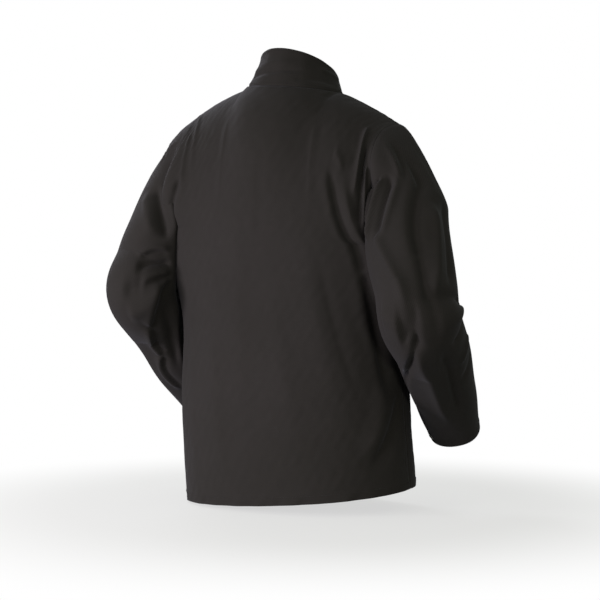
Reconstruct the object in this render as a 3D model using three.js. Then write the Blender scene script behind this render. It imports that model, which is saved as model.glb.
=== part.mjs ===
// A long-sleeved work jacket in heavy cotton, shown as it is worn: closed at the front, with a
// stand-up collar and both arms bent. Every cloth piece is a thin closed wall.
// Millimetres, +Z up. The wearer faces -Y and the wearer's left is +X. The origin is the
// centre of the neck hole, where the collar is sewn on.
import * as THREE from 'three';

// Body
const BACK_LENGTH = 784;          // neck seam to hem edge, centre back
const SIDE_LENGTH = 772;          // level of the neck seam down to the hem at the side seams
const FRONT_LENGTH = 764;         // level of the neck seam down to the hem at the centre front
const CHEST_HALF_WIDTH = 240;
const BACK_DEPTH = 150;           // side seams to the cloth of the back
const FRONT_DEPTH = 140;          // side seams to the cloth of the front
const BODY_SQUARENESS = 2.2;      // 2 is an ellipse in plan, more is squarer
const UNDERARM_DROP = 285;        // neck seam level down to the underarm
const SHOULDER_HALF_WIDTH = 226;
const SHOULDER_FALL = 58;         // neck point down to the shoulder tip
const ARMHOLE_INSET = 30;         // how far the armhole cuts into the body at mid height
const SHOULDER_TILT = 0.105;      // the wearer's left shoulder is raised, as a slope across
const HEM_TILT = -0.075;          // the hem hangs lower at the wearer's left

// Neck and collar
const NECK_HALF_WIDTH = 96;
const NECK_BACK = 86;
const NECK_FRONT = 94;
const NECK_FRONT_DROP = 66;
const COLLAR_TOP_HALF_WIDTH = 75;
const COLLAR_TOP_HALF_DEPTH = 76;
const COLLAR_TOP_FORWARD = 12;
const COLLAR_HEIGHT = 45;         // mean height of the top edge over the neck level
const COLLAR_SLOPE = 28;          // the top edge is higher at the back and lower in front by this
const COLLAR_ENDS_GAP = 3;

// Sleeves
const SLEEVE_HALF_WIDTH = 76;
const BODY_TO_SLEEVE = 7;         // where a sleeve rests against the body, outer face to outer face
const BODY_TO_SLEEVE_START = 45;  // how far along the sleeve it is in full
const CUFF_HALF_WIDTH = 46;
const UPPER_ARM = 240;            // armhole centre to elbow, measured straight down
const FOREARM = 300;              // elbow to cuff edge
const CLEAR_SOFTNESS = 0.03;      // how softly a sleeve turns where it rests against the body
const CAP_SPREAD = 0.5;           // how far the sleeve's top stands out sideways at the seam
const CAP_FALL = 0.6;             // how directly it then runs down the arm

// Curves of the body above the underarm
const ARMHOLE_EASE = 1.4;         // columns spread slowly from the underarm, then faster
const UPRIGHT_SHARE = 0.6;        // share of its height that a column climbs upright
const SHOULDER_REACH = 0.62;      // how flat it runs in to the shoulder seam
const NECK_REACH = 0.32;          // how flat it runs in to the neckline
const SHOULDER_STRAIGHTNESS = 0.75;
const NECK_ROUNDNESS = 1.5;       // how quickly the neckline drops from the neck point
const BACK_NECK_LEAN = 0.9;       // radians by which the cloth slopes where it meets the neckline
const FRONT_NECK_LEAN = 1.2;
const COLLAR_BOW = 1.5;           // how quickly the collar leans in above the neckline

// Cloth, seams and fittings
const CLOTH = 2;
const SEAM_GAP = 0.6;
const PLACKET_HALF_WIDTH = 25;
const PLACKET_CLEARANCE = 0.7;
const SNAP_RADIUS = 7.5;
const SNAP_HEIGHT = 2.4;
const SNAP_CLEARANCE = 0.4;
const FRONT_SNAP_COUNT = 5;
const CUFF_SNAP_RADIUS = 6;
const PLACKET_TOP = 0.98;         // share of the centre front's height
const TOP_SNAP_DROP = 26;         // below the neck seam at the centre front
const BOTTOM_SNAP_RISE = 90;      // above the hem
const CUFF_SNAP_TURN = 0.16;      // round the cuff from its inner side towards the back
const CUFF_SNAP_INSET = 16;       // from the cuff edge

// Folds
const FOLD_HEIGHT = 7;            // the boldest fold, over the plain cloth
const FOLD_TO_SEAM = 45;          // the folds swell over this distance from a seam or a hem
const FOLD_ENDS = 0.12;           // 0 lets a fold fade out fully at its two ends
const BELL_LEAN = 1.65;           // makes a fold of lean 1 rise and sink by the fold height
const BODY_CLOTH_ACROSS = 310;    // along the cloth from the centre line to a side edge
const SLEEVE_CLOTH_ROUND = 450;   // along the cloth round a sleeve

// Mesh steps
const ROWS_BELOW_UNDERARM = 16;
const ROWS_AT_ARMHOLE = 12;
const NECK_COLUMNS = 6;           // from the centre line to the neck point
const SHOULDER_COLUMNS = 7;       // from the neck point to the armhole
const SLEEVE_STEPS = 20;
const COLLAR_STEPS = 3;
const SNAP_SIDES = 10;
const FOLD_SAMPLES = 24;          // along a fold's curve
const SHARP_TURN = 0.9;           // an edge turns sharply where the cosine of its turn is under this
const SAME_PLACE = 0.01;          // points nearer than this are one point of two pieces
const SLOPE_STEP = 4;             // two points this far apart give the slope of a curve

// Body sections from the underarm to the hem. down is a share of SIDE_LENGTH, wide, back and
// front are shares of the chest sizes, and shift moves the section to the wearer's left as a
// share of CHEST_HALF_WIDTH.
const BODY_SECTIONS = [
  { down: 0.00, wide: 1.00, back: 1.00, front: 0.98, shift: 0.03 },
  { down: 0.37, wide: 1.00, back: 1.00, front: 0.98, shift: 0.00 },
  { down: 0.50, wide: 0.97, back: 0.97, front: 0.98, shift: 0.04 },
  { down: 0.62, wide: 0.96, back: 0.96, front: 1.00, shift: 0.06 },
  { down: 0.80, wide: 0.98, back: 1.00, front: 1.00, shift: 0.05 },
  { down: 1.00, wide: 0.98, back: 1.03, front: 1.00, shift: 0.00 },
];

// Sleeve sections. Rows on the upper arm are placed from the armhole centre in shares of
// UPPER_ARM, rows on the forearm from the elbow in shares of FOREARM. taper runs from the
// width at the top (0) to the cuff's width (1), across and deep stretch the section.
const SLEEVE_SECTIONS = {
  left: [
    { bone: 'upper', out: 0.07, back: 0.11, down: 0.20, taper: 0.00, across: 1.00, deep: 1.01 },
    { bone: 'upper', out: 0.13, back: 0.21, down: 0.45, taper: 0.00, across: 0.99, deep: 1.00 },
    { bone: 'upper', out: 0.23, back: 0.32, down: 0.78, taper: 0.05, across: 0.98, deep: 1.00 },
    { bone: 'upper', out: 0.27, back: 0.38, down: 1.00, taper: 0.10, across: 0.98, deep: 1.12 },
    { bone: 'fore', out: -0.01, back: -0.20, down: 0.20, taper: 0.25, across: 1.03, deep: 1.05 },
    { bone: 'fore', out: -0.04, back: -0.42, down: 0.50, taper: 0.55, across: 1.04, deep: 1.02 },
    { bone: 'fore', out: -0.07, back: -0.65, down: 0.80, taper: 1.00, across: 1.00, deep: 1.00 },
  ],
  right: [
    { bone: 'upper', out: 0.06, back: 0.16, down: 0.20, taper: 0.00, across: 1.00, deep: 1.02 },
    { bone: 'upper', out: 0.13, back: 0.27, down: 0.45, taper: 0.00, across: 1.03, deep: 1.00 },
    { bone: 'upper', out: 0.23, back: 0.35, down: 0.78, taper: 0.05, across: 1.00, deep: 1.00 },
    { bone: 'upper', out: 0.28, back: 0.38, down: 1.00, taper: 0.10, across: 1.00, deep: 1.05 },
    { bone: 'fore', out: -0.02, back: -0.22, down: 0.20, taper: 0.25, across: 1.00, deep: 1.02 },
    { bone: 'fore', out: -0.07, back: -0.48, down: 0.45, taper: 0.50, across: 1.02, deep: 1.00 },
    { bone: 'fore', out: -0.10, back: -0.73, down: 0.72, taper: 1.00, across: 1.08, deep: 1.00 },
  ],
};

// Folds. Each runs on a curve from one place by a second to a third. On the body a place is
// the share across from the centre line and the share of SIDE_LENGTH down from the neck. On a
// sleeve it is the share round from the inner side towards the back and the share along it.
// width is a share of CHEST_HALF_WIDTH, height and lean are shares of FOLD_HEIGHT. Down the
// piece, a positive lean raises the body's left, or the sleeve's side towards the body.
const FOLDS = {
  back_panel: [
    { from: [-0.48, 0.19], by: [-0.42, 0.39], to: [-0.85, 0.71], width: 0.11, height: -0.7, lean: 0.6 },
    { from: [-0.60, 0.17], by: [-0.66, 0.39], to: [-0.95, 0.67], width: 0.11, height: 0.8, lean: 0.0 },
    { from: [-0.76, 0.10], by: [-0.70, 0.24], to: [-0.62, 0.33], width: 0.08, height: 0.7, lean: 0.0 },
    { from: [-0.97, 0.73], by: [-0.92, 0.83], to: [-0.69, 0.94], width: 0.11, height: -0.8, lean: 0.5 },
    { from: [-0.27, 0.34], by: [-0.42, 0.56], to: [-0.59, 0.82], width: 0.13, height: 0.5, lean: 0.0 },
    { from: [0.35, 0.54], by: [0.27, 0.73], to: [0.22, 0.93], width: 0.13, height: 0.4, lean: 0.0 },
    { from: [0.84, 0.10], by: [0.72, 0.16], to: [0.62, 0.28], width: 0.08, height: 0.6, lean: 0.0 },
    { from: [0.76, 0.36], by: [0.70, 0.58], to: [0.72, 0.80], width: 0.12, height: 0.5, lean: -0.2 },
  ],
  left_front: [
    { from: [0.80, 0.12], by: [0.69, 0.26], to: [0.69, 0.43], width: 0.10, height: 0.6, lean: 0.1 },
    { from: [0.64, 0.16], by: [0.48, 0.39], to: [0.39, 0.62], width: 0.12, height: 0.5, lean: 0.0 },
    { from: [0.38, 0.54], by: [0.45, 0.75], to: [0.42, 0.94], width: 0.12, height: 0.5, lean: 0.0 },
    { from: [0.71, 0.52], by: [0.76, 0.72], to: [0.69, 0.93], width: 0.12, height: -0.6, lean: 0.1 },
  ],
  left_sleeve: [
    { from: [0.29, 0.11], by: [0.23, 0.21], to: [0.11, 0.34], width: 0.08, height: -0.9, lean: 0.0 },
    { from: [0.28, 0.39], by: [0.18, 0.32], to: [0.05, 0.29], width: 0.07, height: 1.0, lean: 0.0 },
    { from: [0.05, 0.36], by: [0.13, 0.44], to: [0.28, 0.46], width: 0.07, height: -1.0, lean: 0.0 },
    { from: [0.09, 0.50], by: [0.22, 0.54], to: [0.22, 0.66], width: 0.10, height: -0.6, lean: -0.5 },
    { from: [0.33, 0.50], by: [0.36, 0.69], to: [0.33, 0.93], width: 0.09, height: 0.6, lean: 0.0 },
    { from: [0.58, 0.35], by: [0.60, 0.52], to: [0.56, 0.78], width: 0.10, height: 0.6, lean: 0.0 },
  ],
  right_sleeve: [
    { from: [0.31, 0.08], by: [0.34, 0.24], to: [0.31, 0.45], width: 0.08, height: 0.8, lean: 0.0 },
    { from: [0.40, 0.05], by: [0.40, 0.20], to: [0.38, 0.45], width: 0.06, height: -0.9, lean: 0.2 },
    { from: [0.46, 0.08], by: [0.49, 0.24], to: [0.44, 0.44], width: 0.07, height: 0.8, lean: 0.0 },
    { from: [0.14, 0.43], by: [0.19, 0.47], to: [0.26, 0.48], width: 0.07, height: 0.9, lean: 0.0 },
    { from: [0.22, 0.52], by: [0.31, 0.49], to: [0.46, 0.43], width: 0.06, height: -0.9, lean: 0.0 },
    { from: [0.60, 0.47], by: [0.54, 0.50], to: [0.46, 0.52], width: 0.06, height: 0.9, lean: 0.0 },
    { from: [0.31, 0.50], by: [0.33, 0.69], to: [0.33, 0.93], width: 0.08, height: 0.8, lean: 0.0 },
    { from: [0.25, 0.52], by: [0.22, 0.59], to: [0.15, 0.67], width: 0.08, height: -0.8, lean: 0.2 },
    { from: [0.41, 0.50], by: [0.42, 0.64], to: [0.41, 0.81], width: 0.07, height: -0.8, lean: 0.2 },
  ],
};

const vector = (x, y, z) => new THREE.Vector3(x, y, z);
const mix = THREE.MathUtils.lerp;
const power = (value, exponent) => Math.pow(Math.max(value, 0), exponent);

// A smooth curve through the rows of a table: cubic pieces whose slopes come from the
// neighbouring rows.
function smoothTrack(places, values, at) {
  const last = places.length - 1;
  const x = THREE.MathUtils.clamp(at, places[0], places[last]);
  let i = 0;
  while (i < last - 1 && x > places[i + 1]) i += 1;
  const slope = (k) => {
    const a = Math.max(k - 1, 0);
    const b = Math.min(k + 1, last);
    return (values[b] - values[a]) / (places[b] - places[a]);
  };
  const span = places[i + 1] - places[i];
  const t = (x - places[i]) / span;
  const t2 = t * t;
  const t3 = t2 * t;
  return (2 * t3 - 3 * t2 + 1) * values[i] + (t3 - 2 * t2 + t) * span * slope(i)
    + (3 * t2 - 2 * t3) * values[i + 1] + (t3 - t2) * span * slope(i + 1);
}

const column = (rows, name) => rows.map((row) => row[name]);

function bodySection(z) {
  const down = column(BODY_SECTIONS, 'down');
  const at = -z / SIDE_LENGTH;
  const read = (name) => smoothTrack(down, column(BODY_SECTIONS, name), at);
  return {
    halfWidth: CHEST_HALF_WIDTH * read('wide'),
    back: BACK_DEPTH * read('back'),
    front: FRONT_DEPTH * read('front'),
  };
}

// The stance: one shoulder raised, the hem lower on that side, and the body's sections shifted.
function stance(z) {
  const fromHem = THREE.MathUtils.clamp((z + SIDE_LENGTH) / (SIDE_LENGTH - UNDERARM_DROP), 0, 1);
  const down = column(BODY_SECTIONS, 'down');
  const shift = smoothTrack(down, column(BODY_SECTIONS, 'shift'), -z / SIDE_LENGTH);
  return { tilt: mix(HEM_TILT, SHOULDER_TILT, fromHem), shift: shift * CHEST_HALF_WIDTH };
}

function stand(point) {
  const { tilt, shift } = stance(point.z);
  return vector(point.x + shift, point.y, point.z + point.x * tilt);
}

// Holds a sleeve's point clear of the body: in plan it is moved straight out from the body's
// middle until it lies a little outside the body's section. near is 0 at the armhole seam and
// 1 from a hand's breadth along.
function clearOfBody(point, near) {
  const { tilt, shift } = stance(point.z - point.x * SHOULDER_TILT);
  const x = point.x - shift;
  const section = bodySection(Math.min(point.z - x * tilt, -UNDERARM_DROP));
  const depth = point.y > 0 ? section.back : section.front;
  const reach = (power(Math.abs(x) / section.halfWidth, BODY_SQUARENESS)
    + power(Math.abs(point.y) / depth, BODY_SQUARENESS)) ** (1 / BODY_SQUARENESS);
  const least = 1 + BODY_TO_SLEEVE / section.halfWidth;
  const wanted = (reach + least + Math.sqrt((reach - least) ** 2 + CLEAR_SOFTNESS ** 2)) / 2;
  const scale = mix(1, wanted / reach, near);
  return vector(shift + x * scale, point.y * scale, point.z);
}

const FACES = {
  back: {
    sign: 1, depth: 'back', length: BACK_LENGTH,
    neckDepth: NECK_BACK, neckDrop: 0, neckLean: BACK_NECK_LEAN,
  },
  front: {
    sign: -1, depth: 'front', length: FRONT_LENGTH,
    neckDepth: NECK_FRONT, neckDrop: NECK_FRONT_DROP, neckLean: FRONT_NECK_LEAN,
  },
};

const chestSection = bodySection(-UNDERARM_DROP);
const planAngle = (x, halfWidth) => (
  Math.asin(Math.min(power(Math.abs(x) / halfWidth, BODY_SQUARENESS / 2), 1)));
const planWide = (angle) => Math.sign(angle) * power(Math.sin(Math.abs(angle)), 2 / BODY_SQUARENESS);
const planDeep = (angle) => power(Math.cos(angle), 2 / BODY_SQUARENESS);

function armholeHalfWidth(t) {
  return mix(chestSection.halfWidth, SHOULDER_HALF_WIDTH, t) - 4 * ARMHOLE_INSET * t * (1 - t);
}

// The plan angle of a column: the inner columns run straight up, and only the outer ones follow
// the edge, which is at the side below the underarm and along the armhole above it.
const shoulderAngle = planAngle(SHOULDER_HALF_WIDTH, chestSection.halfWidth);
function columnAngle(across, edgeAngle) {
  return across * shoulderAngle + (edgeAngle - shoulderAngle) * across ** 3;
}

// Where a column of the cloth ends at the top: on the neckline or on the shoulder seam.
function columnTop(face, x) {
  if (Math.abs(x) < NECK_HALF_WIDTH) {
    const n = Math.sqrt(1 - (x / NECK_HALF_WIDTH) ** 2);
    const drop = face.neckDrop * n ** NECK_ROUNDNESS;
    return { y: face.neckDepth * n, z: -drop, lean: face.neckLean * n, neck: n };
  }
  const along = (Math.abs(x) - NECK_HALF_WIDTH) / (SHOULDER_HALF_WIDTH - NECK_HALF_WIDTH);
  const fall = mix(along ** 2, along, SHOULDER_STRAIGHTNESS);
  return { y: 0, z: -SHOULDER_FALL * fall, lean: 0, neck: 0 };
}

// A point of the body cloth before the stance. across runs from -1 to 1 between the side
// edges, up from 0 at the hem to 1 at the underarm and 2 at the shoulder and neck seams.
// Below the underarm it is a squared half ellipse in plan. Above it each column is a cubic
// curve that leaves upright and leans over to its place on the seam.
function bodyPoint(face, across, up) {
  if (up <= 1) {
    const angle = columnAngle(across, Math.PI / 2);
    const length = mix(SIDE_LENGTH, face.length, Math.cos(angle));
    const z = mix(-length, -UNDERARM_DROP, up);
    const section = bodySection(z);
    const y = face.sign * section[face.depth] * planDeep(angle);
    return vector(section.halfWidth * planWide(angle), y, z);
  }
  const t = power(up - 1, ARMHOLE_EASE);
  const angle = columnAngle(across, planAngle(armholeHalfWidth(t), chestSection.halfWidth));
  const top = columnTop(face, chestSection.halfWidth * planWide(across * shoulderAngle));
  const base = chestSection[face.depth] * planDeep(angle);
  const rise = top.z + UNDERARM_DROP;
  const reach = mix(SHOULDER_REACH * Math.max(base - top.y, 0), NECK_REACH * rise, top.neck);
  const s = 1 - t;
  const weights = [s ** 3, 3 * s * s * t, 3 * s * t * t, t ** 3];
  const ys = [base, base, top.y + reach * Math.cos(top.lean), top.y];
  const upright = -UNDERARM_DROP + UPRIGHT_SHARE * rise;
  const zs = [-UNDERARM_DROP, upright, top.z - reach * Math.sin(top.lean), top.z];
  const y = weights.reduce((sum, weight, k) => sum + weight * ys[k], 0);
  const z = weights.reduce((sum, weight, k) => sum + weight * zs[k], 0);
  return vector(chestSection.halfWidth * planWide(angle), face.sign * y, z);
}

// The columns of a body piece from the centre line out: even across the neckline, then even
// along the shoulder.
function columnPlaces() {
  const neckShare = planAngle(NECK_HALF_WIDTH, chestSection.halfWidth) / shoulderAngle;
  const shares = [];
  for (let i = 0; i < NECK_COLUMNS; i += 1) {
    const share = i / NECK_COLUMNS;
    const x = NECK_HALF_WIDTH * (share + Math.sin(share * Math.PI / 2)) / 2;
    shares.push(planAngle(x, chestSection.halfWidth) / shoulderAngle);
  }
  for (let i = 0; i <= SHOULDER_COLUMNS; i += 1) shares.push(mix(neckShare, 1, i / SHOULDER_COLUMNS));
  return shares;
}

const rowPlaces = [];
for (let i = 0; i < ROWS_BELOW_UNDERARM; i += 1) rowPlaces.push(i / ROWS_BELOW_UNDERARM);
for (let i = 0; i <= ROWS_AT_ARMHOLE; i += 1) rowPlaces.push(1 + i / ROWS_AT_ARMHOLE);

function bodyGrid(face, places) {
  return rowPlaces.map((up) => places.map((across) => stand(bodyPoint(face, across, up))));
}

const frontPlaces = columnPlaces();
const mirrored = (places) => places.map((place) => -place).reverse();
const backPlaces = [...mirrored(frontPlaces.slice(1)), ...frontPlaces];

// The armhole as a closed ring from the underarm up the back, over the shoulder tip and down
// the front. turn runs from 0 to 1. side is 1 at the wearer's left and -1 at the right.
function armholePoint(side, turn) {
  const face = turn <= 0.5 ? FACES.back : FACES.front;
  const up = turn <= 0.5 ? 1 + 2 * turn : 3 - 2 * turn;
  return stand(bodyPoint(face, side, up));
}

// Sleeve rows as places in space: centre and half sizes, with the armhole's centre first.
function sleeveRows(side, sections) {
  const tip = armholePoint(side, 0.5);
  const underarm = armholePoint(side, 0);
  const start = tip.clone().add(underarm).multiplyScalar(0.5);
  const rows = [{ centre: start, across: SLEEVE_HALF_WIDTH, deep: SLEEVE_HALF_WIDTH }];
  let elbow = start;
  for (const row of sections) {
    const upper = row.bone === 'upper';
    const unit = upper ? UPPER_ARM : FOREARM;
    const from = upper ? start : elbow;
    const half = mix(SLEEVE_HALF_WIDTH, CUFF_HALF_WIDTH, row.taper);
    const centre = vector(side * row.out, row.back, -row.down).multiplyScalar(unit).add(from);
    rows.push({ centre, across: half * row.across, deep: half * row.deep });
    if (upper) elbow = centre;
  }
  let length = 0;
  rows.forEach((row, i) => {
    if (i > 0) length += row.centre.distanceTo(rows[i - 1].centre);
    row.at = length;
  });
  return rows;
}

// A point of a round sleeve section: at runs along the sleeve in millimetres, turn from 0 at
// the inner side by way of the back. The section stands square to the arm's line there.
function sectionPoint(rows, side, at, turn) {
  const places = column(rows, 'at');
  const centreAt = (place) => vector(...['x', 'y', 'z'].map(
    (axis) => smoothTrack(places, rows.map((row) => row.centre[axis]), place)));
  const line = centreAt(at + SLOPE_STEP).sub(centreAt(at - SLOPE_STEP)).normalize();
  const behind = vector(0, 1, 0).addScaledVector(line, -line.y).normalize();
  const inner = behind.clone().cross(line).multiplyScalar(side);
  const angle = turn * 2 * Math.PI;
  return centreAt(at)
    .addScaledVector(inner, Math.cos(angle) * smoothTrack(places, column(rows, 'across'), at))
    .addScaledVector(behind, Math.sin(angle) * smoothTrack(places, column(rows, 'deep'), at));
}

// A point of the sleeve: the first stretch is a cubic blend from the armhole to the first
// section, and the rest follows the sections.
function sleevePoint(rows, side, at, turn) {
  const first = rows[1].at;
  const near = THREE.MathUtils.smoothstep(at, 0, BODY_TO_SLEEVE_START);
  if (at >= first) return clearOfBody(sectionPoint(rows, side, at, turn), near);
  const t = at / first;
  const start = armholePoint(side, turn);
  const end = sectionPoint(rows, side, first, turn);
  const beyond = sectionPoint(rows, side, first + SLOPE_STEP, turn);
  const endSlope = beyond.sub(end).multiplyScalar(first / SLOPE_STEP);
  const startSlope = end.clone().sub(start).multiplyScalar(CAP_FALL);
  startSlope.x += side * CAP_SPREAD * first;
  const blend = start.multiplyScalar(2 * t ** 3 - 3 * t ** 2 + 1)
    .addScaledVector(startSlope, t ** 3 - 2 * t ** 2 + t)
    .addScaledVector(end, 3 * t ** 2 - 2 * t ** 3)
    .addScaledVector(endSlope, t ** 3 - t ** 2);
  return clearOfBody(blend, near);
}

function sleeveGrid(side, rows) {
  const total = rows[rows.length - 1].at;
  const around = 2 * ROWS_AT_ARMHOLE;
  const grid = [];
  for (let i = 0; i <= SLEEVE_STEPS; i += 1) {
    const ring = [];
    const at = total * i / SLEEVE_STEPS;
    for (let j = 0; j < around; j += 1) ring.push(sleevePoint(rows, side, at, j / around));
    grid.push(ring);
  }
  return grid;
}

// How high the folds stand at a flat place, in millimetres along the cloth. Across each fold
// the height is a bell, and lean raises one of its flanks and sinks the other.
function foldHeight(place, folds, unit) {
  let height = 0;
  for (const fold of folds) {
    const [start, bend, end] = [fold.from, fold.by, fold.to].map(
      ([a, b]) => new THREE.Vector2(a * unit.x, b * unit.y));
    const curve = new THREE.QuadraticBezierCurve(start, bend, end);
    let nearest = Infinity;
    let share = 0;
    for (let k = 0; k <= FOLD_SAMPLES; k += 1) {
      const distance = curve.getPoint(k / FOLD_SAMPLES).distanceTo(place);
      if (distance < nearest) {
        nearest = distance;
        share = k / FOLD_SAMPLES;
      }
    }
    const away = place.clone().sub(curve.getPoint(share));
    const across = away.cross(curve.getTangent(share)) / (fold.width * CHEST_HALF_WIDTH);
    const beyond = Math.max(nearest / (fold.width * CHEST_HALF_WIDTH) - Math.abs(across), 0);
    const bell = Math.exp(-across * across - beyond * beyond);
    const swell = Math.sin(mix(FOLD_ENDS, 1 - FOLD_ENDS, share) * Math.PI);
    height += bell * swell * (fold.height + BELL_LEAN * fold.lean * across);
  }
  return height * FOLD_HEIGHT;
}

const mirrorFolds = (folds) => folds.map(({ from, by, to, width, height, lean }) => ({
  from: [-from[0], from[1]], by: [-by[0], by[1]], to: [-to[0], to[1]], width, height, lean: -lean,
}));

const fade = (distance) => THREE.MathUtils.smoothstep(distance, 0, FOLD_TO_SEAM);

// The folds over a body piece, level at its seams and at the hem.
function bodyFolds(places, folds) {
  const unit = { x: BODY_CLOTH_ACROSS, y: SIDE_LENGTH };
  return rowPlaces.map((up) => places.map((across) => {
    const down = up < 1 ? mix(SIDE_LENGTH, UNDERARM_DROP, up) : UNDERARM_DROP * (2 - up);
    const place = new THREE.Vector2(across * unit.x, down);
    return foldHeight(place, folds, unit) * fade((1 - Math.abs(across)) * unit.x)
      * fade(UNDERARM_DROP * (2 - up)) * fade(SIDE_LENGTH - down);
  }));
}

// The folds over a sleeve, level at the armhole, at the cuff and where it rests on the body.
function sleeveFolds(rows, folds) {
  const total = rows[rows.length - 1].at;
  const unit = { x: SLEEVE_CLOTH_ROUND, y: total };
  const around = 2 * ROWS_AT_ARMHOLE;
  return Array.from({ length: SLEEVE_STEPS + 1 }, (_, i) => Array.from({ length: around }, (_, j) => {
    const place = new THREE.Vector2(unit.x * j / around, total * i / SLEEVE_STEPS);
    return foldHeight(place, folds, unit) * fade(Math.min(place.x, unit.x - place.x))
      * fade(place.y) * fade(total - place.y);
  }));
}

// The collar rises from the neckline to a smaller ring that slopes down to the front. It
// starts and ends at the centre front and passes round by the wearer's right.
function collarGrid() {
  const half = frontPlaces.slice(0, NECK_COLUMNS + 1);
  const route = [
    ...half.map((across) => ({ face: FACES.front, across: -across })),
    ...mirrored(half.slice(0, -1)).map((across) => ({ face: FACES.back, across })),
    ...half.slice(1).map((across) => ({ face: FACES.back, across })),
    ...half.slice(0, -1).reverse().map((across) => ({ face: FACES.front, across })),
  ];
  const grid = [];
  for (let i = 0; i <= COLLAR_STEPS; i += 1) {
    const t = i / COLLAR_STEPS;
    const bow = 1 - (1 - t) ** COLLAR_BOW;
    grid.push(route.map(({ face, across }) => {
      const base = bodyPoint(face, across, 2);
      const sine = chestSection.halfWidth * planWide(across * shoulderAngle) / NECK_HALF_WIDTH;
      const cosine = face.sign * Math.sqrt(Math.max(1 - sine ** 2, 0));
      const x = mix(base.x, COLLAR_TOP_HALF_WIDTH * sine, bow);
      const y = mix(base.y, COLLAR_TOP_HALF_DEPTH * cosine - COLLAR_TOP_FORWARD, bow);
      return stand(vector(x, y, mix(base.z, COLLAR_HEIGHT + COLLAR_SLOPE * cosine, t)));
    }));
  }
  return grid;
}

const armRows = {
  left: sleeveRows(1, SLEEVE_SECTIONS.left),
  right: sleeveRows(-1, SLEEVE_SECTIONS.right),
};

// Every cloth piece: its outer points in rows and columns, which way its outside faces, if its
// columns close into a ring, and how far each edge is drawn back at its seam.
const SEAM = SEAM_GAP / 2;
const BODY_EDGES = { firstRow: 0, lastRow: SEAM, firstColumn: SEAM, lastColumn: SEAM };
const SLEEVE_EDGES = { firstRow: SEAM, lastRow: 0 };
const COLLAR_EDGES = {
  firstRow: SEAM, lastRow: 0, firstColumn: COLLAR_ENDS_GAP / 2, lastColumn: COLLAR_ENDS_GAP / 2,
};
const pieces = {
  back_panel: {
    grid: bodyGrid(FACES.back, backPlaces), facing: -1, ring: false,
    edges: BODY_EDGES, folds: bodyFolds(backPlaces, FOLDS.back_panel),
  },
  left_front: {
    grid: bodyGrid(FACES.front, frontPlaces), facing: 1, ring: false,
    edges: BODY_EDGES, folds: bodyFolds(frontPlaces, FOLDS.left_front),
  },
  right_front: {
    grid: bodyGrid(FACES.front, mirrored(frontPlaces)), facing: 1, ring: false,
    edges: BODY_EDGES, folds: bodyFolds(mirrored(frontPlaces), mirrorFolds(FOLDS.left_front)),
  },
  left_sleeve: {
    grid: sleeveGrid(1, armRows.left), facing: 1, ring: true,
    edges: SLEEVE_EDGES, folds: sleeveFolds(armRows.left, FOLDS.left_sleeve),
  },
  right_sleeve: {
    grid: sleeveGrid(-1, armRows.right), facing: -1, ring: true,
    edges: SLEEVE_EDGES, folds: sleeveFolds(armRows.right, FOLDS.right_sleeve),
  },
  collar: {
    grid: collarGrid(), facing: -1, ring: false,
    edges: COLLAR_EDGES,
  },
};

// Gives every piece the direction out of the cloth at each point, shared by all pieces that
// meet there, so that the walls meet at their seams with parallel edges.
function shareOutward() {
  const known = [];
  const placeOf = (point) => {
    let place = known.find((other) => other.point.distanceToSquared(point) < SAME_PLACE ** 2);
    if (!place) {
      place = { point, outward: vector(0, 0, 0) };
      known.push(place);
    }
    return place;
  };
  for (const piece of Object.values(pieces)) {
    const { grid, facing, ring } = piece;
    piece.places = grid.map((row) => row.map(placeOf));
    const count = grid[0].length;
    for (let i = 0; i < grid.length - 1; i += 1) {
      for (let j = 0; j < (ring ? count : count - 1); j += 1) {
        const k = (j + 1) % count;
        const [low, high] = [piece.places[i], piece.places[i + 1]];
        const corners = [low[j], low[k], high[k], high[j]];
        const rising = corners[2].point.clone().sub(corners[0].point);
        const falling = corners[3].point.clone().sub(corners[1].point);
        const normal = rising.cross(falling).multiplyScalar(facing);
        for (const corner of corners) corner.outward.add(normal);
      }
    }
  }
  for (const place of known) place.outward.normalize();
}

shareOutward();
for (const piece of Object.values(pieces).filter(({ folds }) => folds)) {
  piece.grid = piece.grid.map((row, i) => row.map((point, j) => (
    point.clone().addScaledVector(piece.places[i][j].outward, piece.folds[i][j]))));
}
shareOutward();

// How far a point of an edge is drawn back into its own piece at a seam, square to the edge's
// line and to the cloth's outward direction. Where the edge turns sharply, at the underarm and
// the neck point, the lines on both sides count. way says on which side the piece lies.
function drawnBack(outward, before, after, distance, way) {
  const lines = [before, after].filter((line) => line.length() > 0).map((line) => line.clone().normalize());
  const sharp = lines.length === 2 && lines[0].dot(lines[1]) < SHARP_TURN;
  const counted = sharp ? lines : [lines.reduce((sum, line) => sum.add(line), vector(0, 0, 0))];
  const moved = vector(0, 0, 0);
  for (const line of counted) {
    moved.add(line.cross(outward).normalize().multiplyScalar(way * distance));
  }
  return moved;
}

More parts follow.
